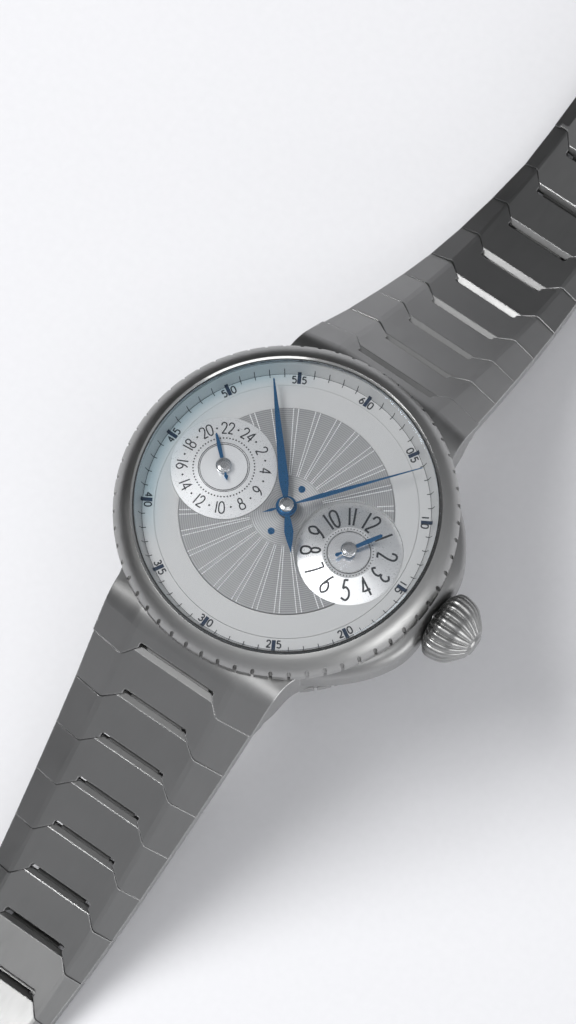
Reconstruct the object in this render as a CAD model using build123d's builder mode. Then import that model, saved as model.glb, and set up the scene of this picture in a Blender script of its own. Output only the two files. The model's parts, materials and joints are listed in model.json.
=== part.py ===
from build123d import *
import math
import os

# Regulator wristwatch with a second time zone, on an integrated metal bracelet.
#
# Frame: the origin is the centre of the flat face of the case back. +Z points out of the
# dial, +Y to twelve o'clock and +X to the crown at three o'clock. Millimetres.
# The watch stands as an arch: the head is held up by the two arms of the bracelet, whose
# hinges rest against their stops, and both arms flatten out on the same floor.

os.makedirs("parts", exist_ok=True)

# ---------------------------------------------------------------- driving dimensions
# case
BEZEL_R = 20.9
BEZEL_BOTTOM_Z = 9.1
BEZEL_WALL_TOP_Z = 10.4
BEZEL_TOP_Z = 12.65
CRYSTAL_SEAT_R = 18.47
CRYSTAL_R = 18.28
CRYSTAL_EDGE_Z = 12.0
CRYSTAL_IN_Z = 12.95
CRYSTAL_TOP_Z = 13.9
FLUTES = 60
FLUTE_R = 0.24
FLUTE_MOUTH = 0.36
FLUTE_DEPTH = 0.42
BEZEL_FLUTES_TOP_Z = 11.45
CASE_R = 20.0
CASE_BOTTOM_Z = 1.8
CASE_NECK_R = 18.9
CASE_NECK_TOP_Z = 10.6
CASE_BORE_R = 17.0
DIAL_SEAT_Z = 9.35
DIAL_BORE_R = 18.45
BACK_R = 20.2
BACK_WINDOW_R = 15.45
GAP = 0.05
TUBE_R = 1.24
TUBE_SEAL_X = 23.0

# lugs and links: a link is 7 mm from pivot to pivot
PITCH = 7.0
LINK_T = 3.0
PIVOT_DEPTH = LINK_T / 2
PIN_R = 0.5
PIN_CLEARANCE = 0.03
SLOT = 0.85
SLOT_FLOOR_T = 0.28
TONGUE_L = 2.2
TONGUE_CORNER_R = 0.8
FRONT_BEVEL = 0.6
BARREL_R = 1.1
SKIN_T = 0.8
LUG_PIVOT_Y = 22.68
LUG_PIVOT_Z = 4.30
LUG_SLOPE = 46.5
LUG_HALF_W = 11.54
LUG_BEND_R = 5.0
FACET_START_Y = 16.0
BAND_HALF_W = 7.0
TAPER = 0.505
BAND_TAPER = 0.125
FACET_DROP = 0.9
RIDGE_CUT = 0.04
RIDGE_HALF_W = 0.4
INWARD_BEND = 18.0
SLOPES_6H = (46.5, 42.5, 40.0, 38.8, 36.8, 30.0, 20.0, 9.0)
SLOPES_12H = (47.5, 43.0, 41.0, 37.0, 29.0, 21.5, 14.0, 6.0)

# dial and hands
DIAL_Z = 9.8
MINUTE_RING_IN_R = 15.98
DIAL_CENTRE_R = 13.0
DIAL_HOLE_R = 0.95
HOUR_DIAL_X = 9.15
HOUR_DIAL_R = 6.55
ZONE_DIAL_X = -9.25
ZONE_DIAL_R = 6.45
MINUTE_ANGLE = -40.6
SECONDS_ANGLE = 38.7
HOUR_ANGLE = 31.0
ZONE_ANGLE = -47.7

# movement
PLATE_R = 16.9
PLATE_LOW_Z = 5.5
PLATE_TOP_Z = 7.9
BRIDGE_LOW_Z = 2.9
BRIDGE_TOP_Z = 3.8
STEM_Z = 6.5
STEM_R = 0.6


def save(piece, name):
    """Labels one finished piece and writes it to its own STEP file."""
    piece.label = name
    export_step(piece, "parts/" + name + ".step")


def polar(radius, degrees_ccw, centre=(0.0, 0.0)):
    """Point at a radius and an anticlockwise angle from +X."""
    angle = math.radians(degrees_ccw)
    return (centre[0] + radius * math.cos(angle), centre[1] + radius * math.sin(angle))


def revolved(points):
    """Ring or disc about the Z axis from its half section, given as (radius, z) points."""
    with BuildPart() as ring:
        with BuildSketch(Plane.XZ):
            with BuildLine():
                Polyline(*points, close=True)
            make_face()
        revolve(axis=Axis.Z)
    return ring.part


# ---------------------------------------------------------------- bezel and case back
def coin_edge(radius, low_z, high_z, first_angle):
    """The ring of upright notches that leaves rounded flutes between them."""
    with BuildPart() as notches:
        with BuildSketch(Plane.XY.offset(low_z)):
            with PolarLocations(radius - FLUTE_DEPTH + FLUTE_R, FLUTES, start_angle=first_angle):
                Circle(FLUTE_R)
                with Locations((FLUTE_R, 0.0)):
                    Rectangle(2 * FLUTE_R, FLUTE_MOUTH)
        extrude(amount=high_z - low_z)
    return notches.part


with BuildPart() as bezel:
    with BuildSketch(Plane.XZ):
        with BuildLine():
            foot = Polyline(
                (BEZEL_R - 0.15, BEZEL_BOTTOM_Z),
                (CASE_NECK_R + GAP, BEZEL_BOTTOM_Z),
                (CASE_NECK_R + GAP, CASE_NECK_TOP_Z + GAP),
                (CRYSTAL_SEAT_R, CASE_NECK_TOP_Z + GAP),
                (CRYSTAL_SEAT_R, BEZEL_TOP_Z - 0.12),
                (CRYSTAL_SEAT_R + 0.28, BEZEL_TOP_Z),
            )
            shoulder = ThreePointArc(
                foot @ 1, (BEZEL_R - 0.82, 11.77), (BEZEL_R, BEZEL_WALL_TOP_Z))
            side = Line(shoulder @ 1, (BEZEL_R, BEZEL_BOTTOM_Z + 0.15))
            Line(side @ 1, foot @ 0)
        make_face()
    revolve(axis=Axis.Z)
    add(coin_edge(BEZEL_R, BEZEL_BOTTOM_Z - 0.1, BEZEL_FLUTES_TOP_Z, 0.0), mode=Mode.SUBTRACT)
save(bezel.part, "bezel")

with BuildPart() as case_back:
    add(revolved([
        (BACK_WINDOW_R, 0.0), (18.2, 0.0), (19.6, 0.25), (BACK_R, 0.7), (BACK_R, CASE_BOTTOM_Z),
        (CASE_BORE_R - GAP, CASE_BOTTOM_Z), (CASE_BORE_R - GAP, 3.2), (15.9, 3.2), (15.9, 1.35),
        (14.9, 1.35), (14.9, 1.0), (BACK_WINDOW_R, 1.0),
    ]))
    add(coin_edge(BACK_R, 0.2, CASE_BOTTOM_Z + 0.1, 3.0), mode=Mode.SUBTRACT)
    with BuildSketch(Plane.XY.offset(CASE_BOTTOM_Z)):
        Circle(18.3)
        Circle(17.6, mode=Mode.SUBTRACT)
    extrude(amount=-0.6, mode=Mode.SUBTRACT)
    with BuildSketch(Plane.XY):
        with PolarLocations(16.9, 6, start_angle=30):
            Rectangle(1.6, 1.2)
    extrude(amount=0.5, mode=Mode.SUBTRACT)
save(case_back.part, "case_back")

with BuildPart() as back_crystal:
    add(revolved([
        (0.0, 0.0), (BACK_WINDOW_R - 0.3, 0.0), (BACK_WINDOW_R - GAP, 0.2),
        (BACK_WINDOW_R - GAP, 0.98), (0.0, 0.98),
    ]))
save(back_crystal.part, "back_crystal")


def dome_point(apex_z, edge_r, edge_z, r):
    """Point at radius r of the sphere that passes through an apex and an edge circle."""
    sag = apex_z - edge_z
    sphere_r = (edge_r ** 2 + sag ** 2) / (2 * sag)
    return (r, apex_z - sphere_r + math.sqrt(sphere_r ** 2 - r ** 2))


with BuildPart() as crystal:
    with BuildSketch(Plane.XZ):
        with BuildLine():
            axis_line = Line((0.0, CRYSTAL_IN_Z), (0.0, CRYSTAL_TOP_Z))
            outside = ThreePointArc(
                axis_line @ 1, dome_point(CRYSTAL_TOP_Z, 18.1, 12.88, 9.0), (18.1, 12.88))
            rim = Polyline(outside @ 1, (CRYSTAL_R, 12.7), (CRYSTAL_R, CRYSTAL_EDGE_Z))
            ThreePointArc(
                rim @ 1, dome_point(CRYSTAL_IN_Z, CRYSTAL_R, CRYSTAL_EDGE_Z, 9.0), axis_line @ 0)
        make_face()
    revolve(axis=Axis.Z)
save(crystal.part, "crystal")

with BuildPart() as case_gaskets:
    with BuildSketch(Plane.XY.offset(CRYSTAL_EDGE_Z)):
        Circle(CRYSTAL_SEAT_R - 0.01)
        Circle(CRYSTAL_R + 0.01, mode=Mode.SUBTRACT)
    extrude(amount=0.45)
    with BuildSketch(Plane.XY.offset(CASE_BOTTOM_Z - 0.59)):
        Circle(18.25)
        Circle(17.65, mode=Mode.SUBTRACT)
    extrude(amount=0.58)
    with BuildSketch(Plane(origin=(TUBE_SEAL_X, 0.0, STEM_Z), z_dir=(1, 0, 0))):
        Circle(TUBE_R + 0.12)
        Circle(TUBE_R - 0.19, mode=Mode.SUBTRACT)
    extrude(amount=0.5)
save(case_gaskets.part, "case_gaskets")


# ---------------------------------------------------------------- bracelet geometry
def arm_plane(side, y, z, slope):
    """Plane of a link: origin at its pivot, x across, y along the arm, z out of the top."""
    angle = math.radians(slope)
    normal = (0.0, side * math.sin(angle), math.cos(angle))
    return Plane(origin=(0.0, side * y, z), x_dir=(side, 0.0, 0.0), z_dir=normal)


def chain(slopes):
    """Pivot (y, z) of every link of an arm, and one more for what hangs on its far end."""
    y = LUG_PIVOT_Y
    z = LUG_PIVOT_Z
    pivots = [(y, z)]
    for slope in slopes:
        y = y + PITCH * math.cos(math.radians(slope))
        z = z - PITCH * math.sin(math.radians(slope))
        pivots.append((y, z))
    return pivots


def half_width(index):
    """Half width of the arm at a seam; it tapers over the first seven links."""
    return LUG_HALF_W - TAPER * min(index, 7)


def band_half_width(index):
    """Half width of the flat centre band at a seam."""
    return BAND_HALF_W - BAND_TAPER * min(index, 8)


def tongue_half_width(index):
    """Half width of the front of a link's tongue."""
    return 5.35 if index == 0 else 4.6 - 0.04 * index


# In a link's own plane, u runs along the arm from the pivot and w out of the top face.
TOP_W = PIVOT_DEPTH
LOW_W = -PIVOT_DEPTH
FACE_U = PIVOT_DEPTH
END_R = PIVOT_DEPTH - GAP


def end_profile(back_bend):
    """Three points of a link's far end, from bottom to top, seen from the side.

    The upper face leans by the back bend of the stop, and the lower face by the inward bend,
    so both limits of the hinge are two faces that meet."""
    low = math.radians(INWARD_BEND)
    high = math.radians(back_bend)
    bottom_u = (END_R - PIVOT_DEPTH * math.sin(low)) / math.cos(low)
    top_u = (END_R - PIVOT_DEPTH * math.sin(high)) / math.cos(high)
    reach = END_R / math.cos((low + high) / 2)
    middle = (high - low) / 2
    nose = (reach * math.cos(middle), reach * math.sin(middle))
    return ((bottom_u, LOW_W), nose, (top_u, TOP_W))


def facet_plane(plane, index, sign):
    """Plane of one side facet, from the edge of the centre band down to the link's edge."""
    band = band_half_width(index)
    next_band = band_half_width(index + 1)
    edge = half_width(index)
    ridge = plane.from_local_coords(Vector(sign * band, FACE_U, TOP_W))
    ridge_end = plane.from_local_coords(Vector(sign * next_band, FACE_U + PITCH, TOP_W))
    low = plane.from_local_coords(Vector(sign * edge, FACE_U, TOP_W - FACET_DROP))
    along = ridge_end - ridge
    across = low - ridge
    normal = along.cross(across)
    if normal.dot(plane.z_dir) < 0:
        normal = normal * -1
    return Plane(origin=ridge, x_dir=along, z_dir=normal)


def ridge_plane(plane, facet):
    """Plane that takes the sharp edge off the ridge between the centre band and a facet."""
    normal = (plane.z_dir + facet.z_dir).normalized()
    return Plane(origin=facet.origin - normal * RIDGE_CUT, x_dir=facet.x_dir, z_dir=normal)


def corners_at(x, y):
    """The two mirrored corners (x, y) and (-x, y) of the sketch that is being drawn."""
    return vertices().filter_by(lambda v: abs(abs(v.X) - x) < 0.01 and abs(v.Y - y) < 0.01)


def socket_cutter(plane, index):
    """The space at a link's far end, or in a lug, that takes the next link's tongue."""
    wide = band_half_width(index) + 0.08
    narrow = tongue_half_width(index) + 0.1
    back_u = FACE_U - TONGUE_L - SLOT
    front_u = FACE_U - TONGUE_L
    with BuildPart() as cutter:
        with BuildSketch(plane.offset(LOW_W - 0.5)):
            with BuildLine():
                Polyline(
                    (-narrow, back_u), (narrow, back_u), (narrow, front_u), (wide, front_u),
                    (wide, FACE_U + 1.0), (-wide, FACE_U + 1.0), (-wide, front_u),
                    (-narrow, front_u), close=True)
            make_face()
        extrude(amount=LINK_T + 0.5 - SKIN_T - GAP)
        with BuildSketch(plane.offset(LOW_W)):
            with BuildLine():
                Polyline(
                    (-narrow, back_u), (narrow, back_u), (narrow, front_u), (wide, FACE_U),
                    (wide + 1.2, FACE_U), (wide + 1.2, FACE_U + 1.0), (-wide - 1.2, FACE_U + 1.0),
                    (-wide - 1.2, FACE_U), (-wide, FACE_U), (-narrow, front_u), close=True)
            make_face()
            fillet(corners_at(wide, FACE_U), TONGUE_CORNER_R)
            fillet(corners_at(narrow, back_u), TONGUE_CORNER_R / 2)
        extrude(amount=LINK_T + 1.0)
        # a thin floor closes the slot from below, clear of the barrel that turns above it
        with BuildSketch(plane.offset(LOW_W - 1.0)):
            with Locations((0.0, (back_u + front_u) / 2)):
                Rectangle(2 * narrow + 1.0, SLOT)
        extrude(amount=SLOT_FLOOR_T + 1.0, mode=Mode.SUBTRACT)
    return cutter.part


def tongue(plane, index, front_bevel=FRONT_BEVEL):
    """Tongue of a link: a top skin with slanted flanks over a barrel on the pin."""
    wide = band_half_width(index)
    narrow = tongue_half_width(index)
    front_u = FACE_U - TONGUE_L
    side_view = Plane(origin=plane.origin, x_dir=plane.y_dir, z_dir=plane.y_dir.cross(plane.z_dir))
    with BuildPart() as piece:
        with BuildSketch(plane.offset(TOP_W)):
            with BuildLine():
                Polyline(
                    (-narrow, front_u), (narrow, front_u), (wide, FACE_U), (wide + 1.2, FACE_U),
                    (wide + 1.2, FACE_U + 0.5), (-wide - 1.2, FACE_U + 0.5),
                    (-wide - 1.2, FACE_U), (-wide, FACE_U), close=True)
            make_face()
            fillet(corners_at(wide, FACE_U), TONGUE_CORNER_R)
            fillet(corners_at(narrow, front_u), TONGUE_CORNER_R)
        extrude(amount=-SKIN_T)
        barrel_half_w = narrow - TONGUE_CORNER_R
        with BuildSketch(side_view.offset(-barrel_half_w)):
            Circle(BARREL_R)
            with Locations(((FACE_U + 0.4) / 2, 0.0)):
                Rectangle(FACE_U + 0.4, 2 * END_R - 0.06)
        extrude(amount=2 * barrel_half_w)
        with BuildSketch(side_view.offset(-narrow - 1.0)):
            with BuildLine():
                Polyline(
                    (front_u - 1.0, TOP_W + 1.0), (front_u - 1.0, TOP_W - front_bevel - 1.0),
                    (front_u + front_bevel + 1.0, TOP_W + 1.0), close=True)
            make_face()
        extrude(amount=2 * narrow + 2.0, mode=Mode.SUBTRACT)
        with BuildSketch(side_view.offset(-narrow - 1.0)):
            Circle(PIN_R + 0.005)
        extrude(amount=2 * narrow + 2.0, mode=Mode.SUBTRACT)
    return piece.part


def pin_bore(plane, half_w):
    """Running bore for a hinge pin, open on the nine o'clock side and blind on the other."""
    open_x = -half_w - 2.0
    blind_x = half_w - 0.5
    with BuildPart() as bore:
        with BuildSketch(Plane(origin=(open_x, plane.origin.Y, plane.origin.Z), z_dir=(1, 0, 0))):
            Circle(PIN_R + PIN_CLEARANCE)
        extrude(amount=blind_x - open_x)
    return bore.part


def pin(plane, half_length, radius=PIN_R):
    """A hinge pin along the plane's x axis."""
    with BuildPart() as rod:
        with BuildSketch(Plane(origin=plane.origin, x_dir=plane.y_dir, z_dir=plane.x_dir)
                         .offset(-half_length)):
            Circle(radius)
        extrude(amount=2 * half_length)
    return rod.part


def link(side, index, pivots, slopes, next_slope):
    """One bracelet link with the pin pressed through its tongue."""
    slope = slopes[index]
    plane = arm_plane(side, pivots[index][0], pivots[index][1], slope)
    next_plane = arm_plane(side, pivots[index + 1][0], pivots[index + 1][1], next_slope)
    side_view = Plane(origin=plane.origin, x_dir=plane.y_dir, z_dir=plane.y_dir.cross(plane.z_dir))
    near_w = half_width(index)
    far_w = half_width(index + 1)
    low, nose, top = end_profile(slope - next_slope)
    with BuildPart() as piece:
        with BuildSketch(side_view.offset(-near_w - 1.0)):
            with BuildLine():
                Polyline(
                    (FACE_U, LOW_W), (PITCH + low[0], low[1]), (PITCH + nose[0], nose[1]),
                    (PITCH + top[0], top[1]), (FACE_U, TOP_W), close=True)
            make_face()
        extrude(amount=2 * near_w + 2.0)
        with BuildSketch(plane.offset(LOW_W - 1.0)):
            with BuildLine():
                Polyline(
                    (-near_w, FACE_U), (near_w, FACE_U), (far_w, FACE_U + PITCH),
                    (-far_w, FACE_U + PITCH), close=True)
            make_face()
        extrude(amount=LINK_T + 2.0, mode=Mode.INTERSECT)
        add(socket_cutter(next_plane, index + 1), mode=Mode.SUBTRACT)
        add(pin_bore(next_plane, far_w), mode=Mode.SUBTRACT)
        add(tongue(plane, index))
        for sign in (-1, 1):
            facet = facet_plane(plane, index, sign)
            split(bisect_by=facet, keep=Keep.BOTTOM)
            split(bisect_by=ridge_plane(plane, facet), keep=Keep.BOTTOM)
    rod = pin(plane, near_w - 0.7)
    return Compound(children=[piece.part, rod])


PIVOTS_6H = chain(SLOPES_6H)
PIVOTS_12H = chain(SLOPES_12H)
LAST_SLOPE = math.radians(SLOPES_6H[-1])
LAST_EDGE_U = end_profile(0.0)[0][0]
FLOOR_Z = PIVOTS_6H[-1][1] - LAST_EDGE_U * math.sin(LAST_SLOPE) - PIVOT_DEPTH * math.cos(LAST_SLOPE)

for arm, side, pivots, slopes, end_slope in (
        ("12h", 1, PIVOTS_12H, SLOPES_12H, 0.0), ("6h", -1, PIVOTS_6H, SLOPES_6H, SLOPES_6H[-1])):
    for index in range(len(slopes)):
        following = slopes[index + 1] if index + 1 < len(slopes) else end_slope
        save(link(side, index, pivots, slopes, following), "link_" + arm + "_" + str(index + 1))


# ---------------------------------------------------------------- case middle
LUG_RAD = math.radians(LUG_SLOPE)
CASE_SHELF_Z = BEZEL_BOTTOM_Z - GAP


def lug_point(u, w):
    """A point of the lug's end in the side view (y, z), from the first link's pivot."""
    return (LUG_PIVOT_Y + u * math.cos(LUG_RAD) + w * math.sin(LUG_RAD),
            LUG_PIVOT_Z - u * math.sin(LUG_RAD) + w * math.cos(LUG_RAD))


def lug_bend():
    """Low end, middle and high end of the bend in a lug's upper face, seen from the side."""
    ridge = lug_point(FACE_U, TOP_W)
    corner_y = ridge[0] - (CASE_SHELF_Z - ridge[1]) / math.tan(LUG_RAD)
    centre_y = corner_y - LUG_BEND_R * math.tan(LUG_RAD / 2)
    centre_z = CASE_SHELF_Z - LUG_BEND_R
    return [(centre_y + LUG_BEND_R * math.sin(turn), centre_z + LUG_BEND_R * math.cos(turn))
            for turn in (LUG_RAD, LUG_RAD / 2, 0.0)]


def lug_facets(side):
    """What is cut away above the two side facets of a lug, from its end to under the bezel."""
    reach = 6.0
    fall = FACET_DROP / (LUG_HALF_W - BAND_HALF_W)
    side_points = [lug_point(FACE_U + 4.0, TOP_W), *lug_bend(), (FACET_START_Y, CASE_SHELF_Z)]
    start, low, middle, high, finish = [(0.0, side * y, z) for y, z in side_points]
    with BuildPart() as wedges:
        with BuildLine() as path:
            Line(start, low)
            ThreePointArc(low, middle, high)
            Line(high, finish)
        spine = path.wires()[0]
        climb = Vector(*low) - Vector(*start)
        with BuildSketch(Plane(origin=start, x_dir=(side, 0, 0), z_dir=climb)):
            for sign in (-1, 1):
                with BuildLine():
                    Polyline(
                        (sign * (BAND_HALF_W - RIDGE_HALF_W), 0.0),
                        (sign * (BAND_HALF_W + RIDGE_HALF_W), -fall * RIDGE_HALF_W),
                        (sign * (BAND_HALF_W + reach), -fall * reach),
                        (sign * (BAND_HALF_W + reach), 1.0),
                        (sign * (BAND_HALF_W - RIDGE_HALF_W), 1.0), close=True)
                make_face()
        sweep(path=spine)
    return wedges.part


SHOULDER_LOW_Z = 2.7
SHOULDER_TOP_Z = CASE_SHELF_Z - 0.6
with BuildPart() as crown_shoulder:
    with BuildSketch(Plane.XY.offset(SHOULDER_LOW_Z)):
        with BuildLine():
            front = Line((21.9, -3.5), (21.9, 3.5))
            upper = Spline(front @ 1, (20.4, 8.6), (12.5, 15.9), tangents=((0, 1), (-1, 0.6)))
            lower = Spline(front @ 0, (20.4, -8.6), (12.5, -15.9), tangents=((0, -1), (-1, -0.6)))
            Polyline(upper @ 1, (9.0, 9.0), (9.0, -9.0), lower @ 1)
        make_face()
    extrude(amount=SHOULDER_TOP_Z - SHOULDER_LOW_Z)
    rounded = edges().filter_by(lambda e: e.center().X > 14.0 and abs(e.tangent_at(0.5).Z) < 0.1)
    fillet(rounded, 1.7)

with BuildPart() as case_middle:
    # outline from above: round body, two tapering lugs and the flow between them
    with BuildSketch(Plane.XY.offset(-2.0)):
        Circle(CASE_R)
        with BuildLine():
            Polyline(
                (-LUG_HALF_W, 26.0), (LUG_HALF_W, 26.0), (12.7, 12.0), (12.7, -12.0),
                (LUG_HALF_W, -26.0), (-LUG_HALF_W, -26.0), (-12.7, -12.0), (-12.7, 12.0),
                close=True)
        make_face()
        corners = vertices().filter_by(
            lambda v: abs(math.hypot(v.X, v.Y) - CASE_R) < 0.05 and abs(v.X) > 11.0)
        fillet(corners, 6.0)
    extrude(amount=13.0)
    # outline from the side: the lugs curve down from under the bezel
    lug_low, lug_nose, lug_top = end_profile(LUG_SLOPE - SLOPES_6H[0])
    lug_tail = [
        lug_point(*lug_top), lug_point(*lug_nose), lug_point(*lug_low), lug_point(0.2, LOW_W),
        (CASE_R, CASE_BOTTOM_Z), (0.0, CASE_BOTTOM_Z)]
    with BuildSketch(Plane.YZ.offset(-25.0)):
        with BuildLine():
            for side in (-1, 1):
                low, middle, high = [(side * y, z) for y, z in lug_bend()]
                Line((0.0, CASE_SHELF_Z), high)
                ThreePointArc(high, middle, low)
                Polyline(low, *[(side * y, z) for y, z in lug_tail])
        make_face()
    extrude(amount=50.0, mode=Mode.INTERSECT)
    for side in (-1, 1):
        add(lug_facets(side), mode=Mode.SUBTRACT)
    add(crown_shoulder.part)
    # the neck that carries the bezel, the bore for the movement and the seat of the dial
    with BuildSketch(Plane.XY.offset(CASE_SHELF_Z - 1.5)):
        Circle(CASE_NECK_R)
    extrude(amount=CASE_NECK_TOP_Z - CASE_SHELF_Z + 1.5)
    with BuildSketch(Plane.XY):
        Circle(CASE_BORE_R)
    extrude(amount=15.0, mode=Mode.SUBTRACT)
    with BuildSketch(Plane.XY.offset(DIAL_SEAT_Z)):
        Circle(DIAL_BORE_R)
    extrude(amount=5.0, mode=Mode.SUBTRACT)
    for side in (-1, 1):
        lug_plane = arm_plane(side, LUG_PIVOT_Y, LUG_PIVOT_Z, LUG_SLOPE)
        add(socket_cutter(lug_plane, 0), mode=Mode.SUBTRACT)
        add(pin_bore(lug_plane, LUG_HALF_W), mode=Mode.SUBTRACT)
    # crown tube
    with BuildSketch(Plane.YZ.offset(17.5)):
        with Locations((0.0, STEM_Z)):
            Circle(TUBE_R)
    extrude(amount=24.0 - 17.5)
    with BuildSketch(Plane.YZ.offset(15.0)):
        with Locations((0.0, STEM_Z)):
            Circle(STEM_R + 0.06)
    extrude(amount=10.0, mode=Mode.SUBTRACT)
    with BuildSketch(Plane(origin=(TUBE_SEAL_X - 0.01, 0.0, STEM_Z), z_dir=(1, 0, 0))):
        Circle(TUBE_R + 1.0)
        Circle(TUBE_R - 0.2, mode=Mode.SUBTRACT)
    extrude(amount=0.52, mode=Mode.SUBTRACT)
save(case_middle.part, "case_middle")


# ---------------------------------------------------------------- crown and stem
CROWN_BASE_X = 21.95
CROWN_CAP_X = 27.7
CROWN_R = 4.05
CROWN_FLUTES = 24

with BuildPart() as crown_groove:
    with BuildLine():
        spine = Spline(
            (21.0, 0.0, STEM_Z + 3.1), (22.6, 0.0, STEM_Z + 3.95), (24.2, 0.0, STEM_Z + 4.25),
            (26.0, 0.0, STEM_Z + 3.65), (27.2, 0.0, STEM_Z + 2.3), (28.0, 0.0, STEM_Z + 1.2))
    with BuildSketch(Plane(origin=spine @ 0, z_dir=spine % 0)):
        Circle(0.34)
    sweep(path=spine)

with BuildPart() as crown:
    with BuildSketch(Plane.XZ):
        with BuildLine():
            base = Polyline((CROWN_BASE_X, STEM_Z), (CROWN_BASE_X, STEM_Z + 3.2))
            onion = Spline(
                base @ 1, (22.85, STEM_Z + 3.93), (24.1, STEM_Z + CROWN_R), (27.25, STEM_Z + 1.9),
                tangents=((0.55, 1), (0.35, -1)))
            Polyline(
                onion @ 1, (27.35, STEM_Z + 1.5), (CROWN_CAP_X, STEM_Z + 1.3),
                (CROWN_CAP_X, STEM_Z), base @ 0)
        make_face()
    stem_axis = Axis((0.0, 0.0, STEM_Z), (1.0, 0.0, 0.0))
    revolve(axis=stem_axis)
    for turn in range(CROWN_FLUTES):
        groove = crown_groove.part.rotate(stem_axis, 360.0 * turn / CROWN_FLUTES)
        add(groove, mode=Mode.SUBTRACT)
    with BuildSketch(Plane.YZ.offset(CROWN_BASE_X - 1.0)):
        with Locations((0.0, STEM_Z)):
            Circle(TUBE_R + 0.15)
    extrude(amount=24.4 - CROWN_BASE_X + 1.0, mode=Mode.SUBTRACT)
    with BuildSketch(Plane.YZ.offset(24.0)):
        with Locations((0.0, STEM_Z)):
            Circle(STEM_R + 0.005)
    extrude(amount=1.4, mode=Mode.SUBTRACT)
save(crown.part, "crown")


# ---------------------------------------------------------------- gears
def gear_outline(teeth, module, phase, tip_width=0.24, root_width=0.56):
    """Corner points of a gear about the origin, with one tooth centred on the phase angle."""
    tip_r = teeth * module / 2 + 0.85 * module
    root_r = teeth * module / 2 - 1.15 * module
    step = 360.0 / teeth
    points = []
    for tooth in range(teeth):
        middle = phase + tooth * step
        points.append(polar(root_r, middle - root_width * step / 2))
        points.append(polar(tip_r, middle - tip_width * step / 2))
        points.append(polar(tip_r, middle + tip_width * step / 2))
        points.append(polar(root_r, middle + root_width * step / 2))
    return points


def gear(centre, low_z, high_z, teeth, module, phase, windows=0):
    """A flat gear, with round windows between its hub and its rim."""
    with BuildPart() as wheel:
        with BuildSketch(Plane((centre[0], centre[1], low_z))):
            with BuildLine():
                Polyline(*gear_outline(teeth, module, phase), close=True)
            make_face()
            if windows:
                pitch_r = teeth * module / 2
                with PolarLocations(pitch_r * 0.54, windows, start_angle=phase):
                    Circle(pitch_r * 0.235, mode=Mode.SUBTRACT)
        extrude(amount=high_z - low_z)
    return wheel.part


def rod(centre, low_z, high_z, radius, hole_radius=0.0):
    """An upright arbor, or a tube if it has a hole."""
    with BuildPart() as bar:
        with BuildSketch(Plane((centre[0], centre[1], low_z))):
            Circle(radius)
            if hole_radius:
                Circle(hole_radius, mode=Mode.SUBTRACT)
        extrude(amount=high_z - low_z)
    return bar.part


def fused(*pieces):
    """One solid from pieces that touch or overlap."""
    with BuildPart() as body:
        for piece in pieces:
            add(piece)
    return body.part


def direction(start, end):
    """Anticlockwise angle from +X of the line between two points."""
    return math.degrees(math.atan2(end[1] - start[1], end[0] - start[0]))


def meeting(centre, teeth, other):
    """Phase that turns a gap of the gear towards its neighbour."""
    return direction(centre, other) + 180.0 / teeth


CENTRE = (0.0, 0.0)
THIRD = polar(4.5, -80.0)
BARREL = polar(6.45, 100.0)
ESCAPE = polar(4.42, 215.0)
BALANCE = polar(9.49, 205.0)
CROWN_WHEEL = (7.6, 0.0)
HOUR_AXIS = (HOUR_DIAL_X, 0.0)
ZONE_AXIS = (ZONE_DIAL_X, 0.0)
HOUR_IDLER = (4.575, -1.45)
ZONE_IDLER = (-4.776, 0.48)
LOW_PIVOT_Z = 3.0
HIGH_PIVOT_Z = 5.9

centre_wheel = Compound(children=[
    fused(
        gear(CENTRE, 5.15, 5.4, 80, 0.1, direction(CENTRE, THIRD), 5),
        gear(CENTRE, 4.7, 5.05, 10, 0.15, meeting(CENTRE, 10, BARREL)),
        rod(CENTRE, 4.65, 8.3, 0.55)) - rod(CENTRE, 4.0, 9.0, 0.28),
    fused(
        gear(CENTRE, 8.0, 8.35, 12, 0.2, direction(CENTRE, HOUR_IDLER)),
        rod(CENTRE, 8.0, 11.76, 0.75)) - rod(CENTRE, 7.0, 12.5, 0.56),
])
save(centre_wheel, "centre_wheel")

third_wheel = fused(
    gear(THIRD, 4.35, 4.55, 75, 9.0 / 85, direction(THIRD, CENTRE), 5),
    gear(THIRD, 4.5, 5.4, 10, 0.1, meeting(THIRD, 10, CENTRE)),
    rod(THIRD, LOW_PIVOT_Z, HIGH_PIVOT_Z, 0.18))
save(third_wheel, "third_wheel")

seconds_cap = revolved([
    (0.0, 12.05), (0.9, 12.05), (0.9, 12.4), (0.78, 12.55), (0.45, 12.62), (0.0, 12.62)])
fourth_wheel = fused(
    gear(CENTRE, 3.9, 4.08, 96, 0.085, direction(CENTRE, ESCAPE), 5),
    gear(CENTRE, 4.05, 4.6, 10, 9.0 / 85, meeting(CENTRE, 10, THIRD)),
    rod(CENTRE, LOW_PIVOT_Z, 12.1, 0.2), seconds_cap)
save(fourth_wheel, "fourth_wheel")

barrel = fused(
    gear(BARREL, 4.7, 5.0, 76, 0.15, direction(BARREL, CENTRE)),
    rod(BARREL, 4.2, 5.05, 5.2)) - rod(BARREL, 4.0, 5.5, 0.74)
save(barrel, "mainspring_barrel")

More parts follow.
